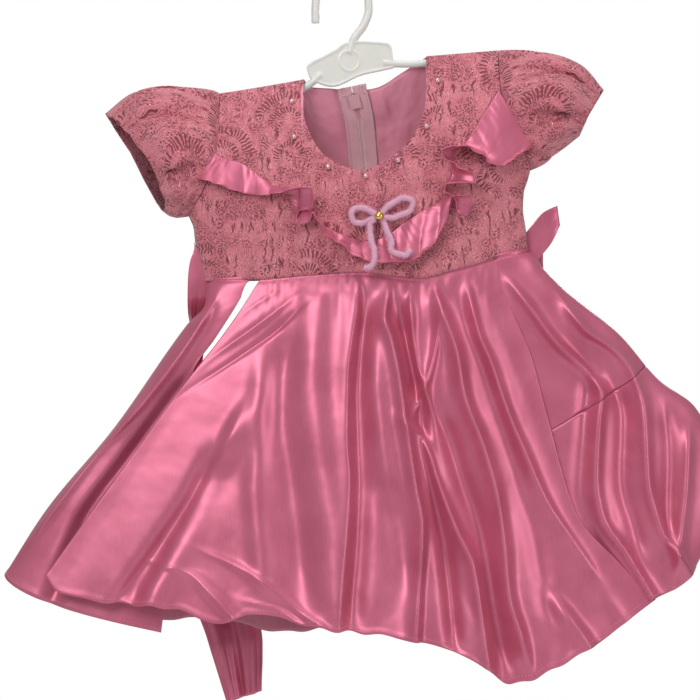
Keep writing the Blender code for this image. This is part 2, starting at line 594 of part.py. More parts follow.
def fold_height(folds, x, z):
    """How far the folds stand out at a place seen from the front."""
    height = 0.0
    for path, width, rise, lean in folds:
        rows = [(-point[1], point[0]) for point in path]
        centre = read_table(rows, -z)[0]
        side = width * (1 + lean if x < centre else 1 - lean)
        fade = smooth_step(rows[0][0] - 0.012, rows[0][0] + 0.030, -z)
        fade *= 1 - smooth_step(rows[-1][0], rows[-1][0] + 0.045, -z)
        height += rise * fade * math.exp(-((x - centre) / side) ** 2)
    return height


def patch_point(top, bottom, left, right, s, t):
    """Place inside four edges that meet at their corners."""
    across = mix(top(s), bottom(s), t)
    down = mix(left(t), right(t), s)
    corners = mix(mix(top(0), bottom(0), t), mix(top(1), bottom(1), t), s)
    return across + down - corners


def waist_point(span, share):
    x = mix(span[0], span[1], share)
    return Vector((x, read_table(WAIST_LINE, x)[0] - SEAM_GAP))


def waist_depth(x, side):
    turn = torso_place(x, read_table(WAIST_LINE, x)[0])[0]
    return torso_point(turn, 0.0, side).y


def panel_point(panel, s, t):
    """Point of the front or back of the skirt, by its shares across and down."""
    place = patch_point(
        lambda share: waist_point(panel["waist"], share), lambda share: path_point(panel["hem"], share),
        lambda share: path_point(panel["left"], share), lambda share: path_point(panel["right"], share), s, t)
    start = waist_depth(waist_point(panel["waist"], s).x, panel["side"])
    depth = mix(start, read_table(panel["depth"], s)[0], t ** EASE)
    fade = min(1.0, 4 * s, 4 * (1 - s)) * smooth_step(0.0, 0.06, t)
    fold = fold_height(panel["folds"], place.x, place.y) * fade
    return Vector((place.x, depth + panel["side"] * fold, place.y))


FRONT_PANEL = {
    "side": FRONT, "waist": FRONT_WAIST, "hem": FRONT_HEM, "left": FRONT_LEFT_EDGE, "right": FRONT_RIGHT_EDGE,
    "depth": FRONT_HEM_DEPTH, "folds": FRONT_FOLDS}
BACK_PANEL = {
    "side": BACK, "waist": BACK_WAIST, "hem": BACK_HEM, "left": BACK_LEFT_EDGE, "right": BACK_RIGHT_EDGE,
    "depth": BACK_HEM_DEPTH, "folds": BACK_FOLDS}
# Depths of a side piece's edges at the hem, and how far its front edge stays behind the front panel
LEFT_SIDE = {
    "front": LEFT_SIDE_FRONT, "outline": LEFT_OUTLINE, "back": LEFT_SIDE_BACK, "front_depth": -0.038,
    "back_depth": BACK_HEM_DEPTH[0][1], "folds": LEFT_SIDE_FOLDS, "tuck": 0.002}
RIGHT_SIDE = {
    "front": RIGHT_SIDE_FRONT, "outline": RIGHT_OUTLINE, "back": RIGHT_SIDE_BACK, "front_depth": -0.033,
    "back_depth": BACK_HEM_DEPTH[-1][1], "folds": RIGHT_SIDE_FOLDS, "tuck": 0.003}


def side_point(piece, turn, t):
    """Point of a side piece: turn 0 is its front edge, 0.5 the outline, 1 its back edge."""
    outline = path_point(piece["outline"], t)
    side = FRONT if turn <= 0.5 else BACK
    edge = path_point(piece["front" if side == FRONT else "back"], t)
    first = path_point(piece["front" if side == FRONT else "back"], 0.0)
    reach = 1 - abs(2 * turn - 1)
    start = waist_depth(first.x, side)
    tuck = piece["tuck"] * smooth_step(0.0, 0.2, t) if side == FRONT else 0.0
    edge_depth = mix(start, piece["front_depth" if side == FRONT else "back_depth"], t ** EASE) + tuck
    x = mix(edge.x, outline.x, math.sin(reach * math.pi / 2))
    share = (x - edge.x) / (outline.x - edge.x)
    z = mix(edge.y, outline.y, share) - SIDE_SAG * math.sin(reach * math.pi) * t ** 3
    y = edge_depth * max(math.cos(reach * math.pi / 2), 0.0) ** 0.8
    if t < 0.05:
        z = mix(read_table(WAIST_LINE, x)[0] - SEAM_GAP, z, t / 0.05)
    fade = math.sin(reach * math.pi) ** 0.5 * smooth_step(0.0, 0.08, t) if 0 < reach < 1 else 0.0
    return Vector((x, y + side * fold_height(piece["folds"], x, z) * fade, z))


def join_drop(turn):
    """Drop share of the seam across the right side piece."""
    return read_table(RIGHT_JOIN, turn)[0]


def side_rows(piece, top, bottom, count, columns):
    """Rows of a side piece between two drop shares, each a function of the turn."""
    rows = []
    for share in shares(count):
        row = []
        for turn in shares(columns):
            row.append(side_point(piece, turn, mix(top(turn), bottom(turn), share)))
        rows.append(row)
    return rows


def ring_point(centre, ends, angle):
    """Point of a four-ended soft ring; ends are under, front, top and back."""
    quarter = int(angle * 4) % 4
    local = angle * 4 - int(angle * 4)
    first = ends[quarter] - centre
    second = ends[(quarter + 1) % 4] - centre
    turn = local * math.pi / 2
    return centre + first * math.cos(turn) ** 0.9 + second * math.sin(turn) ** 0.9


def edge_ring(edge, hand, half):
    """Points just outside an armhole edge, from the underarm to the shoulder."""
    lengths = [0.0]
    for first, second in zip(edge, edge[1:]):
        lengths.append(lengths[-1] + (second - first).length)
    ring = []
    for share in shares(half):
        run = share * lengths[-1]
        index = max(k for k in range(len(edge) - 1) if lengths[k] <= run)
        step = edge[index + 1] - edge[index]
        spot = edge[index] + step * ((run - lengths[index]) / (lengths[index + 1] - lengths[index]))
        ring.append(spot + Vector((hand * step.z, 0.0, -hand * step.x)).normalized() * SLEEVE_GAP)
    return ring


def armhole_ring(hand, columns):
    """Closed ring just outside an armhole, from the underarm over the front and down the back."""
    front = bodice_front_rows()[-1]
    back = back_rows(hand, ZIP_SLOT, BODICE_ROWS)[-1]
    count = len(ARMHOLE_SHARES)
    half = columns // 2
    over = edge_ring(front[:count] if hand < 0 else front[:-count - 1:-1], hand, half)
    under = edge_ring(back[:count], hand, half)
    for index in (0, half):
        over[index] = (over[index] + under[index]) / 2
    return over + under[half - 1:0:-1]


def sleeve_rows(rails, hand, count, columns):
    first_ring = armhole_ring(hand, columns)
    rows = []
    for share in shares(count):
        ends = [path_point(rails[name], share) for name in ("under", "front", "top", "back")]
        centre = (ends[0] + ends[1] + ends[2] + ends[3]) / 4
        pull = (1 - share) ** 3
        spread = SLEEVE_SPREAD * math.sin(math.pi * min(2 * share, 1.0))
        row = []
        for index in range(columns):
            angle = index / columns
            soft = ring_point(centre, ends, angle)
            ripple = math.sin(angle * 2 * math.pi * SLEEVE_GATHERS) * math.sin(share * math.pi) ** 0.5
            soft += (soft - centre).normalized() * ripple * SLEEVE_RIPPLE
            soft.x += hand * spread
            row.append(soft.lerp(first_ring[index], pull))
        rows.append(row)
    return rows


def frill_rows(table, count, columns):
    rows = []
    base = LACE_WALL / 2 + SATIN_WALL / 2 + FRILL_GAP
    for step in shares(columns):
        row = []
        for share in shares(count):
            sewn_x, sewn_z, free_x, free_z, stand = read_table(table, share)
            row.append(torso_spot(
                mix(sewn_x, free_x, step), mix(sewn_z, free_z, step), FRONT, base + stand * step ** 1.3))
        rows.append(row)
    return rows


def ribbon_rows(table, behind, count, columns):
    """Ribbon rows that hang from a side seam and then against the back of the skirt."""
    keyed = [(0.0, *table[0])]
    for first, second in zip(table, table[1:]):
        keyed.append((keyed[-1][0] + math.dist(first[:2] + first[4:], second[:2] + second[4:]), *second))
    rows = []
    for share in shares(count):
        x, z, half_x, half_z, depth = read_table(keyed, share * keyed[-1][0])
        row = []
        for step in shares(columns):
            side = 2 * step - 1
            crease = SASH_CREASE * math.cos(side * math.pi * 2)
            place = (x + half_x * side, z + half_z * side)
            depths = [depth]
            for point in behind:
                if math.dist((point.x, point.z), place) < SASH_REACH:
                    depths.append(point.y + SASH_LIFT)
            row.append(Vector((place[0], max(depths) + crease, place[1])))
        rows.append(row)
    return rows


def build_bodice(collection, materials):
    add_wall("bodice_front", collection, materials["lace"], bodice_front_rows(), LACE_WALL)
    for hand, name in ((-1, "left"), (1, "right")):
        rows = back_rows(hand, ZIP_SLOT, BODICE_ROWS)
        add_wall(f"bodice_back_{name}", collection, materials["lace"], rows, LACE_WALL)
        rows = back_rows(hand, ZIP_SLOT + LAYER_GAP, LINING_ROWS, -LINING_DEPTH, LINING_TOP)
        add_wall(f"back_lining_{name}", collection, materials["lining"], rows, LINING_WALL)


def build_zip(collection, cutters, materials):
    tape_lift = -(LINING_DEPTH + LINING_WALL / 2 + 2 * LAYER_GAP + TAPE_WALL / 2)
    for hand, name in ((-1, "left"), (1, "right")):
        rows = strip_rows(hand * TAPE_INNER, hand * TAPE_OUTER, ZIP_LOW, ZIP_TOP, tape_lift, 12, 2)
        add_wall(f"zip_tape_{name}", collection, materials["tape"], rows, TAPE_WALL)
    rows = strip_rows(-COIL_HALF, COIL_HALF, ZIP_LOW, COIL_TOP, COIL_LIFT, 12, 1)
    add_wall("zip_coil", collection, materials["coil"], rows, COIL_THICKNESS)
    build_slider(collection, cutters, materials)


def slider_place():
    """Where the slider sits: x across, y outwards, z up along the zip."""
    turn = zip_turn(SLIDER_SHARE, 0.0)
    origin = torso_point(turn, SLIDER_SHARE, BACK)
    outwards = torso_normal(turn, SLIDER_SHARE, BACK)
    above = torso_point(zip_turn(SLIDER_SHARE + 0.02, 0.0), SLIDER_SHARE + 0.02, BACK)
    across = outwards.cross(above - origin).normalized()
    upwards = across.cross(outwards)
    return Matrix.Translation(origin) @ Matrix((across, outwards, upwards)).transposed().to_4x4()


def add_block(name, collection, material, low, high):
    sheet = bmesh.new()
    bmesh.ops.create_cube(sheet, size=1.0)
    for vertex in sheet.verts:
        vertex.co = Vector([mix(low[axis], high[axis], vertex.co[axis] + 0.5) for axis in range(3)])
    mesh = bpy.data.meshes.new(name)
    sheet.to_mesh(mesh)
    sheet.free()
    mesh.materials.append(material)
    item = bpy.data.objects.new(name, mesh)
    collection.objects.link(item)
    return item


def build_slider(collection, cutters, materials):
    place = slider_place()
    material = materials["coil"]
    blocks = [add_block(name, collection, material, low, high) for name, low, high in SLIDER_BLOCKS]
    points = []
    for step in shares(10):
        angle = math.pi * step
        points.append((0.0, ARCH_BASE + ARCH_RADIUS * math.sin(angle), ARCH_RADIUS * math.cos(angle)))
    arch = make_solid(add_tube("slider_arch", collection, material, points, ARCH_WIRE, 1))
    for item in (*blocks, arch):
        item.matrix_world = place
    join_solids(blocks[0], (*blocks[1:], arch), cutters)
    ends = ((-PULL_BAR_HALF, 0, 0), (PULL_BAR_HALF, 0, 0))
    bar = make_solid(add_tube("zip_pull", collection, material, ends, PULL_BAR, 1))
    blocks = [add_block(name, collection, material, low, high) for name, low, high in PULL_BLOCKS]
    hinge = place @ Matrix.Translation((0.0, PULL_HINGE, 0.0))
    for item in (bar, *blocks):
        item.matrix_world = hinge
    join_solids(bar, blocks, cutters)


def build_skirt(collection, materials):
    """Skirt panels; gives the points of its back for the sash to lie on."""
    satin = materials["satin"]
    panels = (("skirt_front", FRONT_PANEL, 46, 13), ("skirt_back", BACK_PANEL, 28, 11))
    for name, panel, columns, count in panels:
        rows = [[panel_point(panel, s, t) for s in shares(columns)] for t in shares(count)]
        add_wall(name, collection, satin, rows, SATIN_WALL)
    back_points = [point for row in rows for point in row]
    rows = side_rows(LEFT_SIDE, lambda turn: 0.0, lambda turn: 1.0, 11, 18)
    add_wall("skirt_side_left", collection, satin, rows, SATIN_WALL)
    back_points += [point for row in rows for point in row if point.y > 0]
    upper = side_rows(RIGHT_SIDE, lambda turn: 0.0, lambda turn: join_drop(turn) - JOIN_GAP, 5, 20)
    lower = side_rows(RIGHT_SIDE, lambda turn: join_drop(turn) + JOIN_GAP, lambda turn: 1.0, 6, 20)
    add_wall("skirt_side_right_upper", collection, satin, upper, SATIN_WALL)
    add_wall("skirt_side_right_lower", collection, satin, lower, SATIN_WALL)
    back_points += [point for row in upper + lower for point in row if point.y > 0]
    return back_points


def build_sashes(collection, materials, behind):
    for name, table, count in (("sash_right", RIGHT_SASH, 27), ("sash_left", LEFT_SASH, 29)):
        add_wall(name, collection, materials["satin"], ribbon_rows(table, behind, count, 5), SATIN_WALL)


def build_sleeves(collection, materials):
    rows = sleeve_rows(LEFT_SLEEVE, -1, 7, 26)
    add_wall("sleeve_left", collection, materials["lace"], rows, LACE_WALL, closed=True)
    rows = sleeve_rows(RIGHT_SLEEVE, 1, 7, 26)
    add_wall("sleeve_right", collection, materials["lace"], rows, LACE_WALL, closed=True)


def add_ball(name, collection, material, centre, radius, segments, rings):
    sheet = bmesh.new()
    bmesh.ops.create_uvsphere(sheet, u_segments=segments, v_segments=rings, radius=radius)
    mesh = bpy.data.meshes.new(name)
    sheet.to_mesh(mesh)
    sheet.free()
    mesh.materials.append(material)
    mesh.shade_smooth()
    item = bpy.data.objects.new(name, mesh)
    item.location = centre
    collection.objects.link(item)
    return item


def build_trim(collection, materials):
    add_wall("frill_left", collection, materials["satin"], frill_rows(LEFT_FRILL, 30, 3), SATIN_WALL)
    add_wall("frill_right", collection, materials["satin"], frill_rows(RIGHT_FRILL, 32, 3), SATIN_WALL)
    pearl_lift = LACE_WALL / 2 + PEARL_GAP + PEARL_RADIUS
    for index, (x, z) in enumerate(PEARLS):
        spot = torso_spot(x, z, FRONT, pearl_lift)
        add_ball(f"pearl_{index + 1}", collection, materials["pearl"], spot, PEARL_RADIUS, 6, 4)
    bead_spot = torso_spot(*BEAD_PLACE, FRONT, BEAD_LIFT)
    add_ball("bow_bead", collection, materials["brass"], bead_spot, BEAD_RADIUS, 10, 6)
    for name, run in BOW_RUNS.items():
        points = []
        for share in shares(10):
            x, z, lift = path_point(run, share)
            points.append(torso_spot(x, z, FRONT, lift))
        add_tube(name, collection, materials["chenille"], points, CHENILLE_RADIUS)


def build_hanger(collection, cutters, materials):
    plastic = materials["hanger"]
    outline = bpy.data.curves.new("hanger", "CURVE")
    outline.dimensions = "2D"
    outline.fill_mode = "BOTH"
    outline.extrude = PLATE_HALF
    spline = outline.splines.new("POLY")
    spline.points.add(len(PLATE) - 1)
    for index, (x, z) in enumerate(PLATE):
        spline.points[index].co = (x, z, 0.0, 1.0)
    spline.use_cyclic_u = True
    outline.materials.append(plastic)
    plate = bpy.data.objects.new("hanger", outline)
    plate.rotation_euler = (math.pi / 2, 0.0, 0.0)
    collection.objects.link(plate)
    plate = make_solid(plate)
    parts = []
    for name, path, radius, count in (
            ("arm_left", LEFT_ARM, ARM_RADIUS, 8), ("arm_right", RIGHT_ARM, ARM_RADIUS, 7),
            ("hook", HOOK, HOOK_RADIUS, 20)):
        points = []
        for share in shares(count):
            x, z = path_point(path, share)
            points.append((x, 0.0, z))
        parts.append(make_solid(add_tube(name, collection, plastic, points, radius)))
    for side, name in ((FRONT, "boss_front"), (BACK, "boss_back")):
        bpy.ops.mesh.primitive_torus_add(
            major_radius=BOSS_RADIUS, minor_radius=BOSS_BEAD, major_segments=16, minor_segments=5,
            location=(BOSS_PLACE[0], side * PLATE_HALF, BOSS_PLACE[1]), rotation=(math.pi / 2, 0.0, 0.0))
        boss = bpy.context.object
        boss.name = name
        boss.data.materials.append(plastic)
        parts.append(boss)
    join_solids(plate, parts, cutters)


def main():
    clear_scene()
    dress = new_collection("lace_dress_on_hanger")
    cutters = new_collection("joined_shapes")
    materials = {name: make_material(name) for name in FINISHES}
    build_hanger(dress, cutters, materials)
    build_bodice(dress, materials)
    build_zip(dress, cutters, materials)
    build_sleeves(dress, materials)
    back_points = build_skirt(dress, materials)
    build_sashes(dress, materials, back_points)
    build_trim(dress, materials)


main()
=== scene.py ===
import math

import bmesh
import bpy
import numpy as np
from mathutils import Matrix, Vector


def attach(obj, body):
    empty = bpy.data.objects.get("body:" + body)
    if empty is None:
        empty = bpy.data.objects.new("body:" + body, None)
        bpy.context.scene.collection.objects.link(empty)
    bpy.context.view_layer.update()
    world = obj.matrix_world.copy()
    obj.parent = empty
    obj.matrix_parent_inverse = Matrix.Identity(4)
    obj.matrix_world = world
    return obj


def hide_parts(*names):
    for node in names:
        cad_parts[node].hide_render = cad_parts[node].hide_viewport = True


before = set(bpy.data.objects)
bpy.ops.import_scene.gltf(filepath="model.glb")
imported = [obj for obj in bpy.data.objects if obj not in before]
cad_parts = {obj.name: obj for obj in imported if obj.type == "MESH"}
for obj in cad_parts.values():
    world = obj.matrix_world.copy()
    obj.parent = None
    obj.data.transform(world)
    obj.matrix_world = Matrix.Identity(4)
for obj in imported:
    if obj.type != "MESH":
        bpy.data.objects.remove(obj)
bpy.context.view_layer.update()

# A child's party dress of lace and satin, hanging on a plastic hanger.
# Metres, +Z up, front towards -Y, origin at the inside top of the hook.
front = -1
back = 1
hands = ((-1, "left"), (1, "right"))
print("frame loaded")


# Reading tables and paths

def readTable(rows, keys):
    table = np.array(rows, float)  # first column is the key, the others are read smoothly between rows
    places = table[:, 0]
    values = table[:, 1:]
    runs = np.diff(places)
    steps = np.diff(values, axis=0) / runs[:, None]
    product = steps[:-1] * steps[1:]
    total = np.where(product > 0, steps[:-1] + steps[1:], 1.0)
    slopes = np.vstack((steps[:1], np.where(product > 0, 2 * product / total, 0.0), steps[-1:]))
    keys = np.clip(np.asarray(keys, float), places[0], places[-1])
    index = np.clip(np.searchsorted(places, keys) - 1, 0, len(places) - 2)
    span = runs[index][..., None]
    t = ((keys - places[index]) / runs[index])[..., None]
    first = (2 * t ** 3 - 3 * t ** 2 + 1) * values[index] + (t ** 3 - 2 * t ** 2 + t) * span * slopes[index]
    second = (3 * t ** 2 - 2 * t ** 3) * values[index + 1] + (t ** 3 - t ** 2) * span * slopes[index + 1]
    return first + second


def pathPoints(points, shares):
    points = np.array(points, float)
    runs = np.concatenate(([0.0], np.cumsum(np.linalg.norm(np.diff(points, axis=0), axis=1))))
    return readTable(np.column_stack((runs, points)), np.clip(shares, 0.0, 1.0) * runs[-1])


def mix(start, end, share):
    return start + (end - start) * share


def smoothStep(start, end, value):
    t = np.clip((value - start) / (end - start), 0.0, 1.0)
    return t * t * (3 - 2 * t)


def ripples(x, z, size, seed, count=7):
    # soft uneven waves of about the given size, from -1 to 1
    random = np.random.default_rng(seed)
    total = 0.0
    for _ in range(count):
        angle = random.uniform(0, math.pi)
        pitch = 2 * math.pi / (size * random.uniform(0.7, 1.7))
        across = (x * math.cos(angle) + z * math.sin(angle)) * pitch
        total = total + np.sin(across + random.uniform(0, 6.3)) * random.uniform(0.5, 1.0)
    return total / (0.75 * count)


def refine(points, rows, columns):
    # smooth finer grid through a coarse one
    count, width = points.shape[:2]
    keyed = np.column_stack((np.linspace(0, 1, count), points.reshape(count, -1)))
    points = readTable(keyed, np.linspace(0, 1, rows + 1)).reshape(rows + 1, width, 3)
    turned = points.transpose(1, 0, 2).reshape(width, -1)
    keyed = np.column_stack((np.linspace(0, 1, width), turned))
    points = readTable(keyed, np.linspace(0, 1, columns + 1)).reshape(columns + 1, rows + 1, 3)
    return points.transpose(1, 0, 2)


# The grid that folds and frills are drawn on: a square's side, and the origin's place in squares
drawing = {"square": 0.00085, "right": 342, "up": 31.6}


def gridSpots(points):
    # places counted in squares to the right and down, as (x, z)
    points = np.array(points, float)
    x = (points[:, 0] - drawing["right"]) * drawing["square"]
    z = -(points[:, 1] + drawing["up"]) * drawing["square"]
    return np.column_stack((x, z))


def gridNormals(points, closed=False):
    if closed:
        across = np.roll(points, -1, axis=1) - np.roll(points, 1, axis=1)
    else:
        across = np.gradient(points, axis=1)
    normals = np.cross(across, np.gradient(points, axis=0))
    return normals / np.maximum(np.linalg.norm(normals, axis=-1, keepdims=True), 1e-9)


# The hanging body as a tube: height share, left x, right x, half depth, edge depth
body = {
    "waist": (
        (-0.118, -0.2650), (-0.071, -0.2640), (-0.036, -0.2610), (0.015, -0.2580),
        (0.065, -0.2630), (0.100, -0.2550), (0.134, -0.2450), (0.160, -0.2390)),
    "shoulder": (
        (-0.145, -0.1080), (-0.105, -0.1030), (-0.033, -0.0910), (0.073, -0.0710),
        (0.134, -0.0660), (0.173, -0.0620)),
    "rows": (
        (0.000, -0.1180, 0.1600, 0.0300, 0.0007), (0.120, -0.1220, 0.1580, 0.0320, 0.0007),
        (0.210, -0.1265, 0.1560, 0.0335, 0.0007), (0.290, -0.1280, 0.1570, 0.0345, 0.0007),
        (0.354, -0.1320, 0.1610, 0.0345, 0.0007), (0.550, -0.1420, 0.1700, 0.0320, 0.0007),
        (0.700, -0.1450, 0.1730, 0.0265, 0.0008), (0.850, -0.1450, 0.1730, 0.0160, 0.0030),
        (0.925, -0.1450, 0.1730, 0.0095, 0.0045), (0.969, -0.1450, 0.1730, 0.0052, 0.0050),
        (0.991, -0.1450, 0.1730, 0.0037, 0.0037), (1.000, -0.1450, 0.1730, 0.0009, 0.0009)),
    "roundness": 0.85,
    "crease": 0.0007}     # height of the soft creases in the lace


def bodyPoints(turn, share, side):
    turn, share = np.broadcast_arrays(turn, share)
    left, right, depth, edge = np.moveaxis(readTable(body["rows"], share), -1, 0)
    x = (left + right) / 2 + (right - left) / 2 * np.sin(turn * math.pi / 2)
    waist = readTable(body["waist"], x)[..., 0]
    shoulder = readTable(body["shoulder"], x)[..., 0]
    bulge = np.maximum(np.cos(turn * math.pi / 2), 0.0) ** body["roundness"]
    wave = 0.6 * np.sin(x * 250 + 1.4 * np.sin(share * 6))
    wave = wave + 0.4 * np.sin(x * 520 + 2 * np.sin(share * 9 + 1))
    wave = wave * smoothStep(0.0, 0.12, share) * (1 - smoothStep(0.6, 0.85, share)) * bulge
    if side == back:
        wave = wave * smoothStep(0.012, 0.030, np.abs(x - 0.018))
    y = side * (edge + (depth - edge) * bulge + body["crease"] * wave)
    return np.stack((x, y, mix(waist, shoulder, share)), -1)


def bodyPlace(x, z):
    waist = readTable(body["waist"], x)[..., 0]
    shoulder = readTable(body["shoulder"], x)[..., 0]
    share = np.clip((z - waist) / (shoulder - waist), 0.0, 1.0)
    rows = readTable(body["rows"], share)
    left = rows[..., 0]
    right = rows[..., 1]
    return np.arcsin(np.clip((2 * x - left - right) / (right - left), -1.0, 1.0)) * 2 / math.pi, share


def bodyNormals(turn, share, side):
    step = 0.004
    before = bodyPoints(np.maximum(turn - step, -1), share, side)
    after = bodyPoints(np.minimum(turn + step, 1), share, side)
    below = bodyPoints(turn, np.maximum(share - step, 0), side)
    above = bodyPoints(turn, np.minimum(share + step, 1), side)
    normals = np.cross(after - before, above - below)
    normals /= np.maximum(np.linalg.norm(normals, axis=-1, keepdims=True), 1e-12)
    return normals * np.sign(normals[..., 1:2] * side)


def bodySpots(x, z, side, lift):
    turn, share = bodyPlace(np.asarray(x, float), np.asarray(z, float))
    lift = np.asarray(lift, float)[..., None]
    return bodyPoints(turn, share, side) + bodyNormals(turn, share, side) * lift


# Shader helpers

def addNode(tree, kind, inputs=(), **settings):
    node = tree.nodes.new(kind)
    for key, value in settings.items():
        setattr(node, key, value)
    for key, value in dict(inputs).items():
        if isinstance(value, bpy.types.NodeSocket):
            tree.links.new(value, node.inputs[key])
        else:
            node.inputs[key].default_value = value
    return node


def calc(tree, operation, *values, clamp=False):
    node = addNode(tree, "ShaderNodeMath", enumerate(values), operation=operation, use_clamp=clamp)
    return node.outputs[0]


def times(tree, first, *others):
    for value in others:
        first = calc(tree, "MULTIPLY", first, value)
    return first


def vectorCalc(tree, operation, *values):
    return addNode(tree, "ShaderNodeVectorMath", enumerate(values), operation=operation).outputs[0]


def mixColour(tree, factor, first, second):
    node = addNode(tree, "ShaderNodeMix", {0: factor, 6: first, 7: second}, data_type="RGBA")
    return node.outputs[2]


def flatNoise(tree, vector, scale, detail, roughness=0.5):
    return addNode(tree, "ShaderNodeTexNoise", {
        "Vector": vector, "Scale": scale, "Detail": detail, "Roughness": roughness}, noise_dimensions="2D")


def flatCells(tree, vector, scale, randomness=1.0):
    return addNode(tree, "ShaderNodeTexVoronoi", {
        "Vector": vector, "Scale": scale, "Randomness": randomness}, voronoi_dimensions="2D")


def ramp(tree, value, low, high):
    # 0 below low, 1 above high, or the other way round when low is larger
    scale = 1.0 / (high - low)
    return calc(tree, "MULTIPLY_ADD", value, scale, -low * scale, clamp=True)


def band(tree, value, rise, fall):
    # 1 from the end of the rise to the start of the fall
    return times(tree, ramp(tree, value, *rise), ramp(tree, value, *fall))


def spokes(tree, angle, count):
    return ramp(tree, calc(tree, "SINE", times(tree, angle, count)), 0.0, 0.5)


def newGroup(name, inputs, outputs):
    # a shader group that reads a place and the named sizes
    tree = bpy.data.node_groups.new(name, "ShaderNodeTree")
    tree.interface.new_socket("Vector", in_out="INPUT", socket_type="NodeSocketVector")
    for label, value in inputs.items():
        tree.interface.new_socket(label, in_out="INPUT", socket_type="NodeSocketFloat").default_value = value
    for label in outputs:
        tree.interface.new_socket(label, in_out="OUTPUT", socket_type="NodeSocketFloat")
    return tree, addNode(tree, "NodeGroupInput").outputs, addNode(tree, "NodeGroupOutput")


def endGroup(tree, end, **results):
    for label, value in results.items():
        tree.links.new(value, end.inputs[label])
    return tree


def makeClothGrain():
    # weave, streaks along the yarn and soft blotches, for every woven cloth
    tree, start, end = newGroup(
        "clothGrain", {"Weave": 1400.0, "Streak": 260.0, "Crumple": 45.0}, ("Shade", "Height", "Crumples"))
    place = start["Vector"]
    stretched = vectorCalc(tree, "MULTIPLY", place, (1.0, 0.06, 1.0))
    streak = flatNoise(tree, stretched, start["Streak"], 3.0).outputs[0]
    weave = flatNoise(tree, place, start["Weave"], 2.0).outputs[0]
    blotch = flatNoise(tree, place, start["Crumple"], 2.0, 0.45).outputs[0]
    shade = calc(tree, "MULTIPLY_ADD", streak, 0.6, times(tree, weave, 0.4))
    height = calc(tree, "MULTIPLY_ADD", streak, 0.5, times(tree, weave, 0.5))
    return endGroup(tree, end, Shade=shade, Height=height, Crumples=blotch)


# Lace: sizes in metres, bands as (rise, fall) round a motif's centre, spreads in radians
knit = {
    "fanSize": 0.068, "fanScatter": 0.8, "fanTurns": (3.6, -1.8),
    "outerBand": ((0.0205, 0.0212), (0.0285, 0.0272)), "outerSpread": (1.05, 0.98), "outerSlits": 50.0,
    "innerBand": ((0.0095, 0.0100), (0.0150, 0.0144)), "innerSpread": (1.55, 1.45), "innerSlits": 28.0,
    "rosetteSize": 0.0125, "rosetteScatter": 0.9, "rosetteChance": (0.45, 0.50),
    "petalBand": ((0.0024, 0.0029), (0.0040, 0.0035)), "petals": 9.0, "eye": (0.0010, 0.0007),
    "ribPitch": 0.0013, "wobble": (0.008, 0.008, 0.0), "wobbleScale": 75.0, "patchScale": 42.0,
    "ladderScale": 330.0, "netScale": 430.0, "yarnScale": 1150.0, "glintScale": 900.0}


def polar(tree, vector, size, randomness):
    # distance and angle round the nearest of a scatter of motif centres, and that motif's own chance
    cells = flatCells(tree, vector, calc(tree, "DIVIDE", 1.0, size), randomness)
    local = vectorCalc(tree, "SUBTRACT", vector, cells.outputs["Position"])
    x, y, _ = addNode(tree, "ShaderNodeSeparateXYZ", {0: local}).outputs
    reach = calc(tree, "SQRT", calc(tree, "ADD", calc(tree, "POWER", x, 2.0), calc(tree, "POWER", y, 2.0)))
    chance = addNode(tree, "ShaderNodeSeparateColor", {0: cells.outputs["Color"]}).outputs[0]
    return reach, calc(tree, "ARCTAN2", x, y), chance


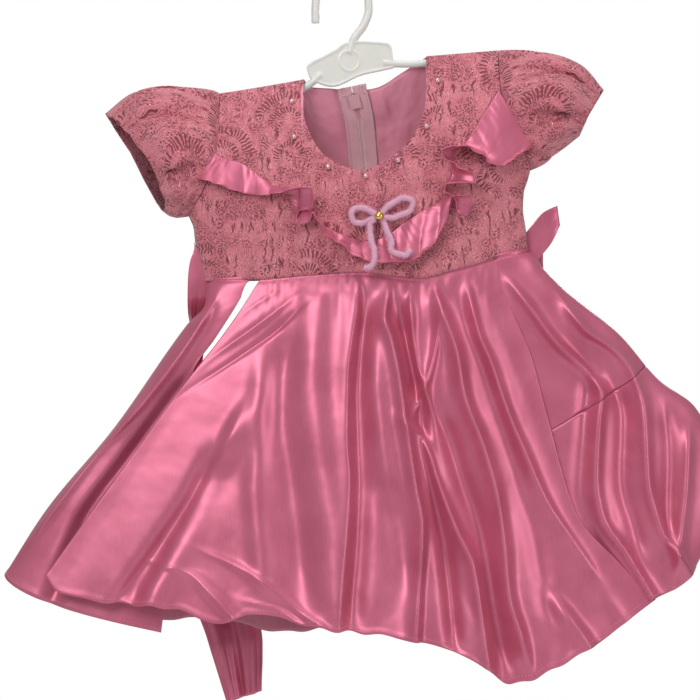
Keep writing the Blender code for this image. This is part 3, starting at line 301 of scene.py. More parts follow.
def makeLaceKnit():
    # open fans, rosettes and pinholes in a ribbed knit, and specks for painted glints
    tree, start, end = newGroup(
        "laceKnit", {"Fan": knit["fanSize"], "Rosette": knit["rosetteSize"], "Rib": knit["ribPitch"]},
        ("Hole", "Thread", "Sparkle", "Height"))
    place = start["Vector"]
    shift = vectorCalc(
        tree, "SUBTRACT", flatNoise(tree, place, knit["wobbleScale"], 2.0).outputs["Color"], (0.5, 0.5, 0.5))
    spot = vectorCalc(tree, "MULTIPLY_ADD", shift, knit["wobble"], place)
    patchy = flatNoise(tree, place, knit["patchScale"], 1.0).outputs[0]

    reach, angle, chance = polar(tree, spot, start["Fan"], knit["fanScatter"])
    turned = calc(tree, "SUBTRACT", angle, calc(tree, "MULTIPLY_ADD", chance, *knit["fanTurns"]))
    turned = calc(tree, "ABSOLUTE", calc(tree, "WRAP", turned, math.pi, -math.pi))
    outer = times(tree, band(tree, reach, *knit["outerBand"]), ramp(tree, turned, *knit["outerSpread"]))
    inner = times(tree, band(tree, reach, *knit["innerBand"]), ramp(tree, turned, *knit["innerSpread"]))
    fans = calc(tree, "MAXIMUM", times(tree, outer, spokes(tree, angle, knit["outerSlits"])),
                times(tree, inner, spokes(tree, angle, knit["innerSlits"])))
    besides = calc(tree, "SUBTRACT", 1.0, calc(tree, "MAXIMUM", outer, inner))
    slack = vectorCalc(tree, "MULTIPLY", spot, (1.0, 0.2, 1.0))
    ladder = ramp(tree, flatNoise(tree, slack, knit["ladderScale"], 2.0).outputs[0], 0.60, 0.68)
    ladder = times(tree, ladder, ramp(tree, patchy, 0.52, 0.42), besides)

    reach, angle, chance = polar(tree, spot, start["Rosette"], knit["rosetteScatter"])
    petals = times(tree, band(tree, reach, *knit["petalBand"]), spokes(tree, angle, knit["petals"]))
    petals = calc(tree, "MAXIMUM", petals, ramp(tree, reach, *knit["eye"]))
    petals = times(tree, petals, ramp(tree, chance, *knit["rosetteChance"]), besides)

    net = flatCells(tree, spot, knit["netScale"], 0.8).outputs["Distance"]
    pins = times(tree, ramp(tree, net, 0.33, 0.22), ramp(tree, patchy, 0.50, 0.58), 0.75)
    hole = calc(tree, "MAXIMUM", calc(tree, "MAXIMUM", fans, ladder), calc(tree, "MAXIMUM", petals, pins))
    solid = calc(tree, "SUBTRACT", 1.0, hole)

    across = addNode(tree, "ShaderNodeSeparateXYZ", {0: spot}).outputs[0]
    wave = calc(tree, "SINE", calc(tree, "DIVIDE", times(tree, across, 2 * math.pi), start["Rib"]))
    ribs = times(tree, ramp(tree, wave, -1.0, 1.0), ramp(tree, patchy, 0.55, 0.40))
    long = vectorCalc(tree, "MULTIPLY", spot, (1.0, 0.45, 1.0))
    yarn = ramp(tree, flatCells(tree, long, knit["yarnScale"]).outputs["Distance"], 0.75, 0.1)
    thread = calc(tree, "ADD", times(tree, yarn, 0.6), times(tree, ribs, 0.4))
    height = times(tree, solid, calc(tree, "MULTIPLY_ADD", thread, 0.5, 0.5))
    # glint specks: scattered spots of the lace that are painted lighter as painted highlights
    glints = flatCells(tree, spot, knit["glintScale"])
    bright = addNode(tree, "ShaderNodeSeparateColor", {0: glints.outputs["Color"]}).outputs[1]
    small = ramp(tree, glints.outputs["Distance"], 0.40, 0.20)
    paintedGlint = times(tree, ramp(tree, bright, 0.95, 0.97), small, solid)
    return endGroup(tree, end, Hole=hole, Thread=thread, Sparkle=paintedGlint, Height=height)


clothGrain = makeClothGrain()
laceKnit = makeLaceKnit()


def newMaterial(name, roughness=0.5, metallic=0.0, **settings):
    material = bpy.data.materials.new(name)
    material.use_nodes = True
    shader = material.node_tree.nodes["Principled BSDF"]
    shader.inputs["Roughness"].default_value = roughness
    shader.inputs["Metallic"].default_value = metallic
    for key, value in settings.items():
        shader.inputs[key.replace("_", " ")].default_value = value
    return material, material.node_tree, shader


def paint(tree, shader, colour, roughness):
    tree.links.new(colour, shader.inputs["Base Color"])
    tree.links.new(roughness, shader.inputs["Roughness"])


def bumpFrom(tree, height, distance, shader, below=None):
    inputs = {"Height": height, "Distance": distance, "Strength": 1.0}
    if below is not None:
        inputs["Normal"] = below
    bump = addNode(tree, "ShaderNodeBump", inputs)
    tree.links.new(bump.outputs[0], shader.inputs["Normal"])
    return bump.outputs[0]


def clothPattern(tree, group):
    # a shader group that follows the cloth's own lengths
    place = addNode(tree, "ShaderNodeUVMap", uv_map="cloth")
    pattern = addNode(tree, "ShaderNodeGroup", node_tree=group)
    tree.links.new(place.outputs[0], pattern.inputs["Vector"])
    return pattern


def wovenMaterial(
        name, dark, light, roughness, metallic, weave, streak, crumple, grain, crumpleDepth, **settings):
    material, tree, shader = newMaterial(name, roughness, metallic, **settings)
    cloth = clothPattern(tree, clothGrain)
    for label, scale in (("Weave", weave), ("Streak", streak), ("Crumple", crumple)):
        cloth.inputs[label].default_value = scale
    cloth = cloth.outputs
    # the tone mixes the weave's and streaks' own grain with the crumples, whose raised parts are painted
    # lighter and hollows darker: painted highlight and shade
    shade = calc(tree, "MULTIPLY_ADD", cloth["Crumples"], 0.5, times(tree, cloth["Shade"], 0.5))
    paint(tree, shader, mixColour(tree, ramp(tree, shade, 0.3, 0.7), dark, light),
          calc(tree, "MULTIPLY_ADD", cloth["Shade"], 0.16, roughness - 0.08))
    bumpFrom(tree, cloth["Height"], grain, shader, bumpFrom(tree, cloth["Crumples"], crumpleDepth, shader))
    return material


def laceMaterial(name, dark, light, hole):
    material, tree, shader = newMaterial(name, 0.7, 0.0, Sheen_Weight=0.25, Sheen_Roughness=0.4)
    lace = clothPattern(tree, laceKnit).outputs
    # raised threads are painted lighter and the sunk ground darker, following the knit's height: painted
    # highlight and shade over the yarn's tone
    colour = mixColour(tree, lace["Thread"], dark, light)
    # the holes are painted dark, a painted shade for the shadowed lining seen through them
    colour = mixColour(tree, lace["Hole"], colour, hole)
    # painted glints: the glint specks are painted a light pink as highlights, and are also given less
    # roughness
    colour = mixColour(tree, lace["Sparkle"], colour, (0.92, 0.50, 0.55, 1.0))
    paint(tree, shader, colour, calc(tree, "MULTIPLY_ADD", lace["Sparkle"], -0.45, 0.72))
    bumpFrom(tree, lace["Height"], 0.0011, shader)
    return material


def plainMaterial(name, colour, roughness, grain, metallic=0.0, **settings):
    # plastic, metal, pearl and thread: a faint mottling and a fine grain
    material, tree, shader = newMaterial(name, roughness, metallic, **settings)
    place = addNode(tree, "ShaderNodeTexCoord").outputs["Object"]
    noise = addNode(tree, "ShaderNodeTexNoise", {"Vector": place, "Scale": 90.0, "Detail": 4.0}).outputs[0]
    shade = mixColour(tree, noise, tuple(0.93 * part for part in colour[:3]) + (1.0,), colour)
    paint(tree, shader, shade, calc(tree, "MULTIPLY_ADD", noise, 0.15, roughness - 0.07))
    bumpFrom(tree, noise, grain, shader)
    return material


# Woven: dark, light, roughness, metallic, weave, streak and crumple scales, grain and crumple depth
materials = {
    "satin": wovenMaterial(
        "satin", (0.52, 0.110, 0.185, 1), (0.65, 0.165, 0.265, 1), 0.40, 0.45, 2600.0, 1300.0, 26.0,
        0.00001, 0.0009, Specular_IOR_Level=0.6, Sheen_Weight=0.1, Sheen_Roughness=0.3),
    "satinInside": wovenMaterial(
        "satin_inside", (0.45, 0.12, 0.18, 1), (0.55, 0.17, 0.24, 1), 0.60, 0.0, 1500.0, 300.0, 38.0, 0.00006,
        0.0009, Sheen_Weight=0.2),
    "lining": wovenMaterial(
        "lining", (0.70, 0.235, 0.325, 1), (0.81, 0.30, 0.405, 1), 0.50, 0.0, 2400.0, 1500.0, 34.0,
        0.00002, 0.0045, Sheen_Weight=0.3),
    "tape": wovenMaterial(
        "tape", (0.66, 0.34, 0.39, 1), (0.80, 0.45, 0.50, 1), 0.7, 0.0, 2200.0, 1400.0, 60.0, 0.00008, 0.0003,
        Sheen_Weight=0.2),
    # lace: a darker ground and lighter raised threads, painted shade and highlight on the knit's relief; then
    # the holes' colour, painted dark as shade
    "lace": laceMaterial("lace", (0.50, 0.110, 0.145, 1), (0.80, 0.29, 0.34, 1), (0.24, 0.032, 0.055, 1)),
    # the sleeves' inside: the same lace, painted darker all over as painted shade
    "laceShadedInside": laceMaterial(
        "lace_shaded_inside", (0.34, 0.085, 0.115, 1), (0.46, 0.15, 0.18, 1), (0.22, 0.035, 0.055, 1)),
    "hanger": plainMaterial(
        "milky_plastic", (0.66, 0.69, 0.66, 1), 0.35, 0.00008, Subsurface_Weight=0.2, Coat_Weight=0.1),
    "coil": plainMaterial("zip_plastic", (0.70, 0.38, 0.43, 1), 0.55, 0.00005, Coat_Weight=0.05),
    "overlock": plainMaterial("overlock_thread", (0.86, 0.58, 0.63, 1), 0.7, 0.00010, Sheen_Weight=0.3),
    "pearl": plainMaterial("pearl", (0.74, 0.46, 0.50, 1), 0.22, 0.00002, 0.6, Coat_Weight=0.5),
    "thread": plainMaterial("thread", (0.72, 0.27, 0.36, 1), 0.6, 0.00010, Sheen_Weight=0.3),
    "chenille": plainMaterial("chenille", (0.72, 0.37, 0.51, 1), 0.95, 0.00040, Sheen_Weight=0.8),
    "brass": plainMaterial("brass", (0.83, 0.56, 0.14, 1), 0.22, 0.00002, 1.0)}
print("materials made")


# Cloth pieces from grids of points

def placeObject(name, data):
    item = bpy.data.objects.new(name, data)
    bpy.context.scene.collection.objects.link(item)
    return item


def newPiece(name, mesh, nodes):
    item = placeObject(name, mesh)
    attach(item, "dress")
    if nodes:
        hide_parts(*nodes)
    return item


def plainMesh(holder):
    # what the holder's modifiers or bevel make, as a plain mesh; the holder goes
    bpy.context.view_layer.update()
    mesh = bpy.data.meshes.new_from_object(holder.evaluated_get(bpy.context.evaluated_depsgraph_get()))
    bpy.data.objects.remove(holder, do_unlink=True)
    return mesh


def clothMap(points, closed=False):
    # lengths along and down the cloth, in metres
    wide = np.concatenate((points, points[:, :1]), axis=1) if closed else points
    across = np.linalg.norm(np.diff(wide, axis=1), axis=-1)
    across = np.concatenate((np.zeros((len(wide), 1)), np.cumsum(across, axis=1)), axis=1)
    along = np.linalg.norm(np.diff(wide, axis=0), axis=-1)
    along = np.concatenate((np.zeros((1, wide.shape[1])), np.cumsum(along, axis=0)), axis=0)
    across = across - across[:, -1:] / 2
    return np.stack((across, along), -1)


def facesInwards(points, closed):
    normals = gridNormals(points, closed)
    return float((normals * (points - points.mean(axis=(0, 1)) * (1, 0, 1))).sum()) < 0


def clothMesh(name, points, layout, closed):
    if facesInwards(points, closed):
        points = points[::-1]
        layout = layout[::-1]
    count, width = points.shape[:2]
    mesh = bpy.data.meshes.new(name)
    i = np.arange(width if closed else width - 1)
    j = np.arange(count - 1)[:, None]
    k = (i + 1) % width
    faces = np.stack((j * width + i, j * width + k, (j + 1) * width + k, (j + 1) * width + i), -1)
    mesh.from_pydata(points.reshape(-1, 3).tolist(), [], faces.reshape(-1, 4).tolist())
    layer = mesh.uv_layers.new(name="cloth")
    spots = np.stack((layout[:-1, :-1], layout[:-1, 1:], layout[1:, 1:], layout[1:, :-1]), 2).reshape(-1, 2)
    layer.data.foreach_set("uv", spots.ravel())
    mesh.shade_smooth()
    return mesh


def addCloth(name, points, wall, looks, nodes, layout=None, closed=False):
    # a thin shell; looks are the materials of its outside and its inside
    if layout is None:
        layout = clothMap(points, closed)
    mesh = clothMesh(name, points, layout, closed)
    for look in looks:
        mesh.materials.append(materials[look])
    item = newPiece(name, mesh, nodes)
    shell = item.modifiers.new("wall", "SOLIDIFY")
    shell.thickness = wall
    shell.offset = 0.0
    shell.use_even_offset = False
    shell.material_offset = 1
    shell.material_offset_rim = 0
    return item


# Bodice: cut edges (x, z) from the left underarm to the right one
bodice = {
    "leftArmhole": ((-0.132, -0.209), (-0.115, -0.180), (-0.107, -0.151), (-0.105, -0.103)),
    "rightArmhole": ((0.134, -0.066), (0.136, -0.101), (0.148, -0.133), (0.162, -0.169)),
    "frontNeck": (
        (-0.033, -0.091), (-0.036, -0.105), (-0.032, -0.127), (-0.014, -0.159), (0.017, -0.171),
        (0.042, -0.160), (0.064, -0.136), (0.073, -0.104), (0.073, -0.071)),
    "backNeckLeft": ((-0.033, -0.091), (-0.026, -0.097), (-0.009, -0.098), (0.006, -0.100)),
    "backNeckRight": ((0.010, -0.100), (0.029, -0.097), (0.052, -0.084), (0.073, -0.071)),
    "turns": (-1.0, -0.52, -0.20, 0.25, 0.52, 1.0),
    "rows": 80, "holeSteps": 24, "shoulderSteps": 18, "rightShoulderSteps": 16, "frontNeckSteps": 64,
    "backNeckSteps": 26, "wall": 0.0009,
    "liningRows": 60, "liningDepth": 0.0022, "liningGap": 0.0004, "liningTop": 0.995, "liningWall": 0.0004,
    "wrinkle": 0.0062, "wrinkleSize": 0.030, "dart": 0.0040, "dartWidth": 0.0022,
    "dartSpot": (0.0385, -0.117), "dartSlope": -0.40, "dartEnd": (-0.125, -0.116),
    "stripEdge": (0.013, 0.024),
    "smoothStrip": ((-0.27, 0.021), (-0.10, 0.009))}     # middle of the strip beside the zip, x at z
zipper = {
    "line": ((0.00, 0.0210), (0.30, 0.0205), (0.55, 0.0185), (0.75, 0.0150), (0.92, 0.0080)),
    "slot": 0.0018, "low": 0.03, "top": 0.935, "coilTop": 0.882, "coilLift": -0.0036, "coilHalf": 0.0007,
    "tapeInner": 0.0016, "tapeOuter": 0.0125, "tapeLift": -0.0040, "tapeWall": 0.0005, "tapeRows": 90,
    "tapeColumns": 10, "tapeRipple": 0.0006, "tapeRippleSize": 0.02, "tapeSeed": 5,
    "parting": (0.895, 0.905), "partedShare": 0.2,
    "overlockInner": 0.0105, "overlockLift": -0.0050,
    "overlock": {"Pitch": 0.0014, "Length": 0.0034, "Radius": 0.00040, "Tilt": 0.9},
    "teeth": {"Pitch": 0.0011, "Length": 0.0015, "Radius": 0.0010, "Tilt": 0.0}}
bodiceRows = 1 - (1 - np.linspace(0, 1, bodice["rows"] + 1)[:, None]) ** 1.5


def zipTurn(share, offset):
    x = readTable(zipper["line"], share)[..., 0] + offset
    rows = readTable(body["rows"], share)
    return np.arcsin((2 * x - rows[..., 0] - rows[..., 1]) / (rows[..., 1] - rows[..., 0])) * 2 / math.pi


def bodiceColumns(edges, turns):
    spots = []
    lows = []
    for index, (points, count, bend) in enumerate(edges):
        shares = np.linspace(0, 1, count + 1)[1 if index else 0:]
        spots.append(pathPoints(points, shares))
        waist = shares
        if bend == "start":
            waist = shares ** 0.5
        if bend == "end":
            waist = 1 - (1 - shares) ** 0.5
        lows.append(mix(turns[index], turns[index + 1], waist))
    spots = np.vstack(spots)
    turn, share = bodyPlace(spots[:, 0], spots[:, 1])
    return np.concatenate(lows), turn, share


def bodiceFront():
    left = bodice["leftArmhole"]
    right = bodice["rightArmhole"]
    neck = bodice["frontNeck"]
    edges = (
        (left, bodice["holeSteps"], "start"), ((left[-1], neck[0]), bodice["shoulderSteps"], ""),
        (neck, bodice["frontNeckSteps"], ""), ((neck[-1], right[0]), bodice["rightShoulderSteps"], ""),
        (right, bodice["holeSteps"], "end"))
    low, turn, share = bodiceColumns(edges, bodice["turns"])
    return bodyPoints(mix(low, turn, bodiceRows), share * bodiceRows, front)


def bodiceBack(hand, slot, rows, lift=0.0, highest=1.0):
    if hand < 0:
        neck = bodice["backNeckLeft"]
        hole = bodice["leftArmhole"]
        turns = bodice["turns"][:3]
    else:
        neck = bodice["backNeckRight"][::-1]
        hole = bodice["rightArmhole"][::-1]
        turns = bodice["turns"][:2:-1]
    edges = (
        (hole, bodice["holeSteps"], "start"), ((hole[-1], neck[0]), bodice["shoulderSteps"], ""),
        (neck, bodice["backNeckSteps"], ""))
    low, turn, share = bodiceColumns(edges, (*turns, float(zipTurn(0.0, hand * slot))))
    turn = mix(low, turn, rows)
    height = np.minimum(share, highest) * rows
    slip = zipTurn(height[:, -1], hand * slot) - turn[:, -1]
    turn = turn + slip[:, None] * np.linspace(0, 1, turn.shape[1]) ** 3
    points = bodyPoints(turn, height, back)
    return points + bodyNormals(turn, height, back) * lift


def liningWrinkles(points):
    x = points[..., 0]
    z = points[..., 2]
    away = smoothStep(*bodice["stripEdge"], np.abs(x - readTable(bodice["smoothStrip"], z)[..., 0]))
    waves = 0.5 + 0.5 * ripples(x, z, bodice["wrinkleSize"], 11)
    dartX, dartZ = bodice["dartSpot"]
    beside = x - dartX - (z - dartZ) * bodice["dartSlope"]
    dart = np.exp(-(beside / bodice["dartWidth"]) ** 2) * smoothStep(*bodice["dartEnd"], z)
    return away * (bodice["wrinkle"] * waves ** 2 + bodice["dart"] * dart)


frontPoints = bodiceFront()
piece = addCloth(
    "bodice_front_lace", frontPoints, bodice["wall"], ("lace", "lining"), ("bodice_front",),
    layout=frontPoints[..., ::2])
backPoints = {}
for hand, name in hands:
    points = bodiceBack(hand, zipper["slot"], bodiceRows)
    backPoints[hand] = points
    piece = addCloth(
        f"bodice_back_{name}_lace", points, bodice["wall"], ("lace", "lining"),
        (f"bodice_back_{name}",), layout=points[..., ::2] * (-1, 1))
    rows = np.linspace(0.02, 0.997, bodice["liningRows"])[:, None]
    lift = -bodice["liningDepth"] * (1 - 0.6 * rows[..., None] ** 8)
    points = bodiceBack(hand, zipper["slot"] + bodice["liningGap"], rows, lift, bodice["liningTop"])
    points[..., 1] -= liningWrinkles(points) * (1 - rows ** 10)
    piece = addCloth(
        f"back_lining_{name}_cloth", points, bodice["liningWall"], ("lining", "lining"),
        (f"back_lining_{name}",))
print("bodice made")


# Zip: two tapes and the coil; the slider and its pull are the frame's own

def zipStrip(hand, inner, lift, columns):
    # a strip beside the zip's line, parted above the slider
    height = np.linspace(zipper["low"], zipper["top"], zipper["tapeRows"] + 1)[:, None]
    inner = hand * mix(inner, inner * zipper["partedShare"], smoothStep(*zipper["parting"], height))
    offset = mix(inner, hand * zipper["tapeOuter"], np.linspace(0, 1, columns + 1))
    turn = zipTurn(height + np.zeros(columns + 1), offset)
    return bodyPoints(turn, height, back) + bodyNormals(turn, height + 0 * turn, back) * lift


for hand, name in hands:
    points = zipStrip(hand, zipper["tapeInner"], zipper["tapeLift"], zipper["tapeColumns"])
    edge = np.linspace(0, 1, points.shape[1])
    soft = ripples(points[..., 0], points[..., 2], zipper["tapeRippleSize"], zipper["tapeSeed"])
    points[..., 1] -= zipper["tapeRipple"] * soft * edge ** 2
    piece = addCloth(
        f"zip_tape_{name}_cloth", points, zipper["tapeWall"], ("tape", "tape"), (f"zip_tape_{name}",))


# Skirt panels, (x, z); folds are drawn on the grid: path, half width, height out, lean, crisp
skirt = {
    "wall": 0.0006, "gap": 0.0005, "ease": 0.75, "hemDepth": 0.0045, "hemRise": 0.0004,
    "tuck": 0.0011, "hemWave": 0.0011, "gather": 0.0004, "gatherPitch": 0.0115,
    "gatherStart": 0.004, "gatherRun": 0.022, "ripple": 0.0007, "rippleSize": 0.055,
    "sideRipple": 0.0006, "sideRippleSize": 0.05, "sideSeed": 6,
    "foldBefore": 0.03, "foldAfter": 0.06, "fadeIn": (0.012, 0.030), "fadeOut": 0.045,
    "waistTuck": 0.0014, "laterRun": 0.06, "tuckRun": 0.003, "rises": (0.004, 0.0025, 0.001),
    "hemStep": 0.0006}
skirtFront = {
    "side": front, "seed": 3, "grid": (280, 150), "waist": (-0.071, 0.134),
    "left": ((-0.071, -0.265), (-0.088, -0.292), (-0.108, -0.320), (-0.128, -0.345), (-0.190, -0.430),
             (-0.252, -0.516)),
    "right": ((0.134, -0.246), (0.137, -0.266), (0.162, -0.330), (0.177, -0.386), (0.201, -0.465),
              (0.239, -0.508), (0.267, -0.537)),
    "hem": ((-0.252, -0.516), (-0.240, -0.530), (-0.191, -0.539), (-0.148, -0.542), (-0.102, -0.554),
            (-0.079, -0.547), (-0.010, -0.559), (0.065, -0.569), (0.122, -0.593), (0.143, -0.606),
            (0.190, -0.588), (0.239, -0.557), (0.267, -0.537)),
    "depth": ((0.0, -0.044), (0.25, -0.060), (0.50, -0.068), (0.80, -0.056), (1.0, -0.035)),
    "folds": (
        (((359, 276), (357, 307), (351, 345), (348, 371), (347, 437), (350, 480), (347, 537), (341, 609)),
         0.0110, 0.0085, 0.72, True),
        (((366, 290), (362, 345), (358, 400), (360, 480), (358, 537), (352, 609)),
         0.0080, -0.0070, -0.3, False),
        (((372, 320), (376, 380), (382, 430), (388, 470)), 0.0090, 0.0045, 0.0, False),
        (((380, 480), (396, 520), (404, 560)), 0.0120, -0.0040, 0.0, False),
        (((390, 289), (385, 316), (392, 339), (399, 373), (406, 422), (416, 488), (422, 525), (419, 586),
          (416, 630)), 0.0062, 0.0125, 0.6, True),
        (((398, 300), (406, 337), (416, 385), (424, 445), (436, 500), (446, 560), (452, 620)),
         0.0070, -0.0085, 0.0, False),
        (((410, 288), (412, 330), (417, 362), (424, 386)), 0.0036, 0.0075, 0.0, True),
        (((440, 312), (436, 345), (430, 372), (424, 388)), 0.0040, 0.0055, 0.0, True),
        (((404, 419), (424, 440), (437, 480), (456, 528), (473, 565), (480, 609), (487, 660)),
         0.0060, 0.0115, 0.4, True),
        (((430, 400), (446, 430), (462, 478), (480, 530), (491, 585), (500, 640)),
         0.0090, -0.0080, 0.0, False),
        (((433, 283), (446, 320), (457, 352), (464, 393), (484, 448), (497, 496), (503, 537), (508, 594),
          (519, 632)), 0.0068, 0.0150, 0.4, True),
        (((462, 290), (472, 330), (490, 380), (506, 432), (520, 482), (536, 535), (545, 590)),
         0.0095, -0.0085, 0.0, False),
        (((468, 284), (478, 330), (491, 362), (507, 409), (525, 451), (548, 502), (574, 541)),
         0.0060, 0.0115, 0.35, True),
        (((484, 280), (502, 330), (521, 378), (540, 430), (560, 482)), 0.0075, -0.0050, 0.0, False),
        (((545, 585), (568, 617), (590, 648)), 0.0085, 0.0075, 0.2, False),
        (((604, 590), (620, 614)), 0.0060, 0.0040, 0.0, False),
        (((300, 308), (276, 331), (235, 360), (185, 392)), 0.0042, -0.0045, 0.3, False),
        (((290, 300), (262, 322), (222, 350), (190, 374)), 0.0060, 0.0040, 0.3, True),
        (((274, 292), (244, 312), (200, 356)), 0.0040, 0.0030, 0.0, True),
        (((216, 448), (196, 492), (164, 540), (122, 598)), 0.0150, -0.0150, -0.4, False),
        (((248, 400), (222, 458), (190, 520), (150, 596)), 0.0110, 0.0070, -0.3, False),
        (((168, 566), (190, 572), (208, 588), (226, 606), (240, 622)), 0.0060, 0.0075, -0.3, True),
        (((206, 550), (248, 570), (292, 602)), 0.0060, 0.0045, 0.0, True),
        (((252, 600), (280, 608), (306, 624)), 0.0060, 0.0045, 0.0, True),
        (((318, 275), (312, 360), (318, 440), (330, 533), (332, 625)), 0.0150, 0.0060, 0.1, False),
        (((290, 330), (282, 400), (290, 480), (300, 560)), 0.0130, -0.0050, 0.1, False),
        (((262, 350), (260, 416), (256, 500), (262, 560)), 0.0100, 0.0045, 0.0, False))}
skirtBack = {
    "side": back, "seed": 4, "grid": (190, 105), "waist": (-0.071, 0.130),
    "left": ((-0.071, -0.265), (-0.088, -0.292), (-0.108, -0.320), (-0.128, -0.345), (-0.150, -0.450),
             (-0.168, -0.562)),
    "right": ((0.130, -0.247), (0.150, -0.330), (0.190, -0.450), (0.232, -0.548)),
    "hem": ((-0.168, -0.562), (-0.125, -0.560), (-0.092, -0.564), (-0.060, -0.574), (0.015, -0.568),
            (0.090, -0.572), (0.150, -0.574), (0.232, -0.548)),
    "depth": ((0.0, 0.036), (0.25, 0.052), (0.50, 0.058), (0.80, 0.052), (1.0, 0.046)),
    "folds": (
        (((283, 279), (248, 439), (213, 633)), 0.0150, 0.0095, 0.0, False),
        (((318, 277), (301, 439), (289, 645)), 0.0110, 0.0085, 0.3, True),
        (((360, 274), (360, 439), (360, 639)), 0.0120, 0.0105, -0.3, True),
        (((401, 277), (418, 439), (436, 645)), 0.0120, 0.0085, 0.0, False),
        (((442, 272), (474, 439), (507, 645)), 0.0130, 0.0100, 0.3, True),
        (((474, 265), (513, 439), (565, 633)), 0.0120, 0.0070, 0.0, False))}
leftSide = {
    "front": ((-0.0790, -0.266), (-0.0915, -0.288), (-0.1075, -0.313), (-0.1280, -0.345), (-0.134, -0.384),
              (-0.142, -0.469), (-0.154, -0.565)),
    "outline": ((-0.1165, -0.266), (-0.118, -0.284), (-0.134, -0.303), (-0.197, -0.392), (-0.255, -0.462),
                (-0.291, -0.518)),
    "back": ((-0.0850, -0.266), (-0.1005, -0.288), (-0.1160, -0.313), (-0.1320, -0.345), (-0.1460, -0.450),
             (-0.1630, -0.561)),
    "frontDepth": -0.038, "backDepth": 0.036, "tuck": 0.002, "backTuck": 0.0016, "tuckFrom": 0.3,
    "sag": 0.009, "columns": 150,
    "folds": (
        (((219, 290), (190, 340), (141, 404), (97, 451), (44, 520)), 0.0095, 0.0105, 0.4, True),
        (((205, 357), (164, 410), (126, 461), (84, 520), (60, 580)), 0.0090, -0.0085, 0.0, False))}
rightSide = {
    "front": ((0.130, -0.246), (0.134, -0.300), (0.146, -0.386), (0.172, -0.465), (0.234, -0.545)),
    "outline": ((0.160, -0.240), (0.190, -0.271), (0.239, -0.311), (0.274, -0.351), (0.304, -0.373),
                (0.318, -0.401), (0.324, -0.443), (0.318, -0.482), (0.304, -0.510)),
    "back": ((0.1250, -0.247), (0.1450, -0.330), (0.1850, -0.450), (0.2270, -0.549)),
    "frontDepth": -0.0342, "backDepth": 0.046, "tuck": 0.0017, "backTuck": 0.0016, "tuckFrom": 0.0,
    "sag": 0.009, "columns": 180,
    "join": ((0.0, 0.50), (0.5, 0.415), (1.0, 0.50)), "joinGap": 0.0006,
    "folds": (
        (((505, 272), (531, 307), (560, 345), (588, 371), (603, 395), (600, 422), (597, 480),
          (603, 517), (628, 555), (650, 592)), 0.0065, 0.0115, 0.3, True),
        (((560, 293), (588, 330), (617, 350), (634, 371), (646, 411), (649, 480), (663, 531), (683, 560)),
         0.0065, 0.0110, 0.2, True),
        (((575, 345), (590, 375), (585, 430), (580, 490), (596, 540)), 0.0080, -0.0055, 0.0, False),
        (((612, 372), (626, 420), (624, 480), (636, 530)), 0.0075, -0.0065, 0.0, False),
        (((692, 420), (689, 480), (680, 555)), 0.0060, 0.0075, 0.0, True),
        (((668, 400), (672, 460), (670, 520)), 0.0060, -0.0045, 0.0, False))}


def foldHeight(folds, x, z, edge):
    height = 0.0
    for path, width, rise, lean, crisp in folds:
        spots = gridSpots(path)
        keyed = np.column_stack((-spots[:, 1], spots[:, 0]))
        before = keyed[0] - (keyed[1] - keyed[0]) * skirt["foldBefore"] / (keyed[1, 0] - keyed[0, 0])
        after = keyed[-1] + (keyed[-1] - keyed[-2]) * skirt["foldAfter"] / (keyed[-1, 0] - keyed[-2, 0])
        away = x - readTable(np.vstack((before, keyed, after)), -z)[..., 0]
        away = away / (width * np.where(away < 0, 1 + lean, 1 - lean))
        fade = smoothStep(keyed[0, 0] - skirt["fadeIn"][0], keyed[0, 0] + skirt["fadeIn"][1], -z)
        fade = fade * (1 - smoothStep(keyed[-1, 0], keyed[-1, 0] + skirt["fadeOut"], -z))
        shape = np.exp(-1.35 * (np.sqrt(away ** 2 + 0.09) - 0.30)) if crisp else np.exp(-away ** 2)
        fade = fade * np.minimum(1, edge * (10 if rise > 0 else 4))
        height = height + rise * fade * shape
    return height


def waistSpots(x):
    return np.column_stack((x, readTable(body["waist"], x)[:, 0] - skirt["gap"]))


def waistDepth(x, side):
    turn = bodyPlace(x, readTable(body["waist"], x)[..., 0])[0]
    return bodyPoints(turn, 0.0, side)[..., 1]


def panelPoints(panel):
    columns, rows = panel["grid"]
    s = np.linspace(0, 1, columns + 1)
    t = np.linspace(0, 1, rows + 1)
    top = waistSpots(mix(panel["waist"][0], panel["waist"][1], s))
    bottom = pathPoints(panel["hem"], s)
    left = pathPoints(panel["left"], t)
    right = pathPoints(panel["right"], t)
    s2 = s[None, :, None]
    t2 = t[:, None, None]
    place = mix(top[None], bottom[None], t2) + mix(left[:, None], right[:, None], s2)
    place = place - mix(mix(top[0], bottom[0], t2), mix(top[-1], bottom[-1], t2), s2)
    x = place[..., 0]
    z = place[..., 1]
    depth = mix(waistDepth(top[:, 0], panel["side"])[None], readTable(panel["depth"], s)[None, :, 0],
                t[:, None] ** skirt["ease"])
    edge = np.minimum(s, 1 - s)[None, :] + 0 * x
    inside = np.minimum(1, edge * 12)
    relief = foldHeight(panel["folds"], x, z, edge) * smoothStep(0.0, 0.06, t)[:, None]
    drop = t[:, None] * np.linalg.norm(bottom[len(bottom) // 2] - top[len(top) // 2])
    phase = x / skirt["gatherPitch"] * 2 * math.pi + 1.7 * np.sin(x * 95)
    gather = skirt["gather"] * np.sin(phase) * np.exp(-drop / skirt["gatherRun"])
    gather = gather * smoothStep(0, skirt["gatherStart"], drop)
    soft = skirt["ripple"] * ripples(x, z, skirt["rippleSize"], panel["seed"])
    relief = relief + (gather + soft * smoothStep(0, 0.1, t)[:, None]) * inside
    low = skirt["hemWave"] * smoothStep(0.90, 1.0, t)[:, None] * inside
    relief = relief + low * np.sin(x * 120 + 2.5 * np.sin(x * 37))
    z = z + low * (np.sin(x * 150 + 3 * np.sin(x * 37)) - 0.2)
    return np.stack((x, depth + panel["side"] * relief, z), -1)


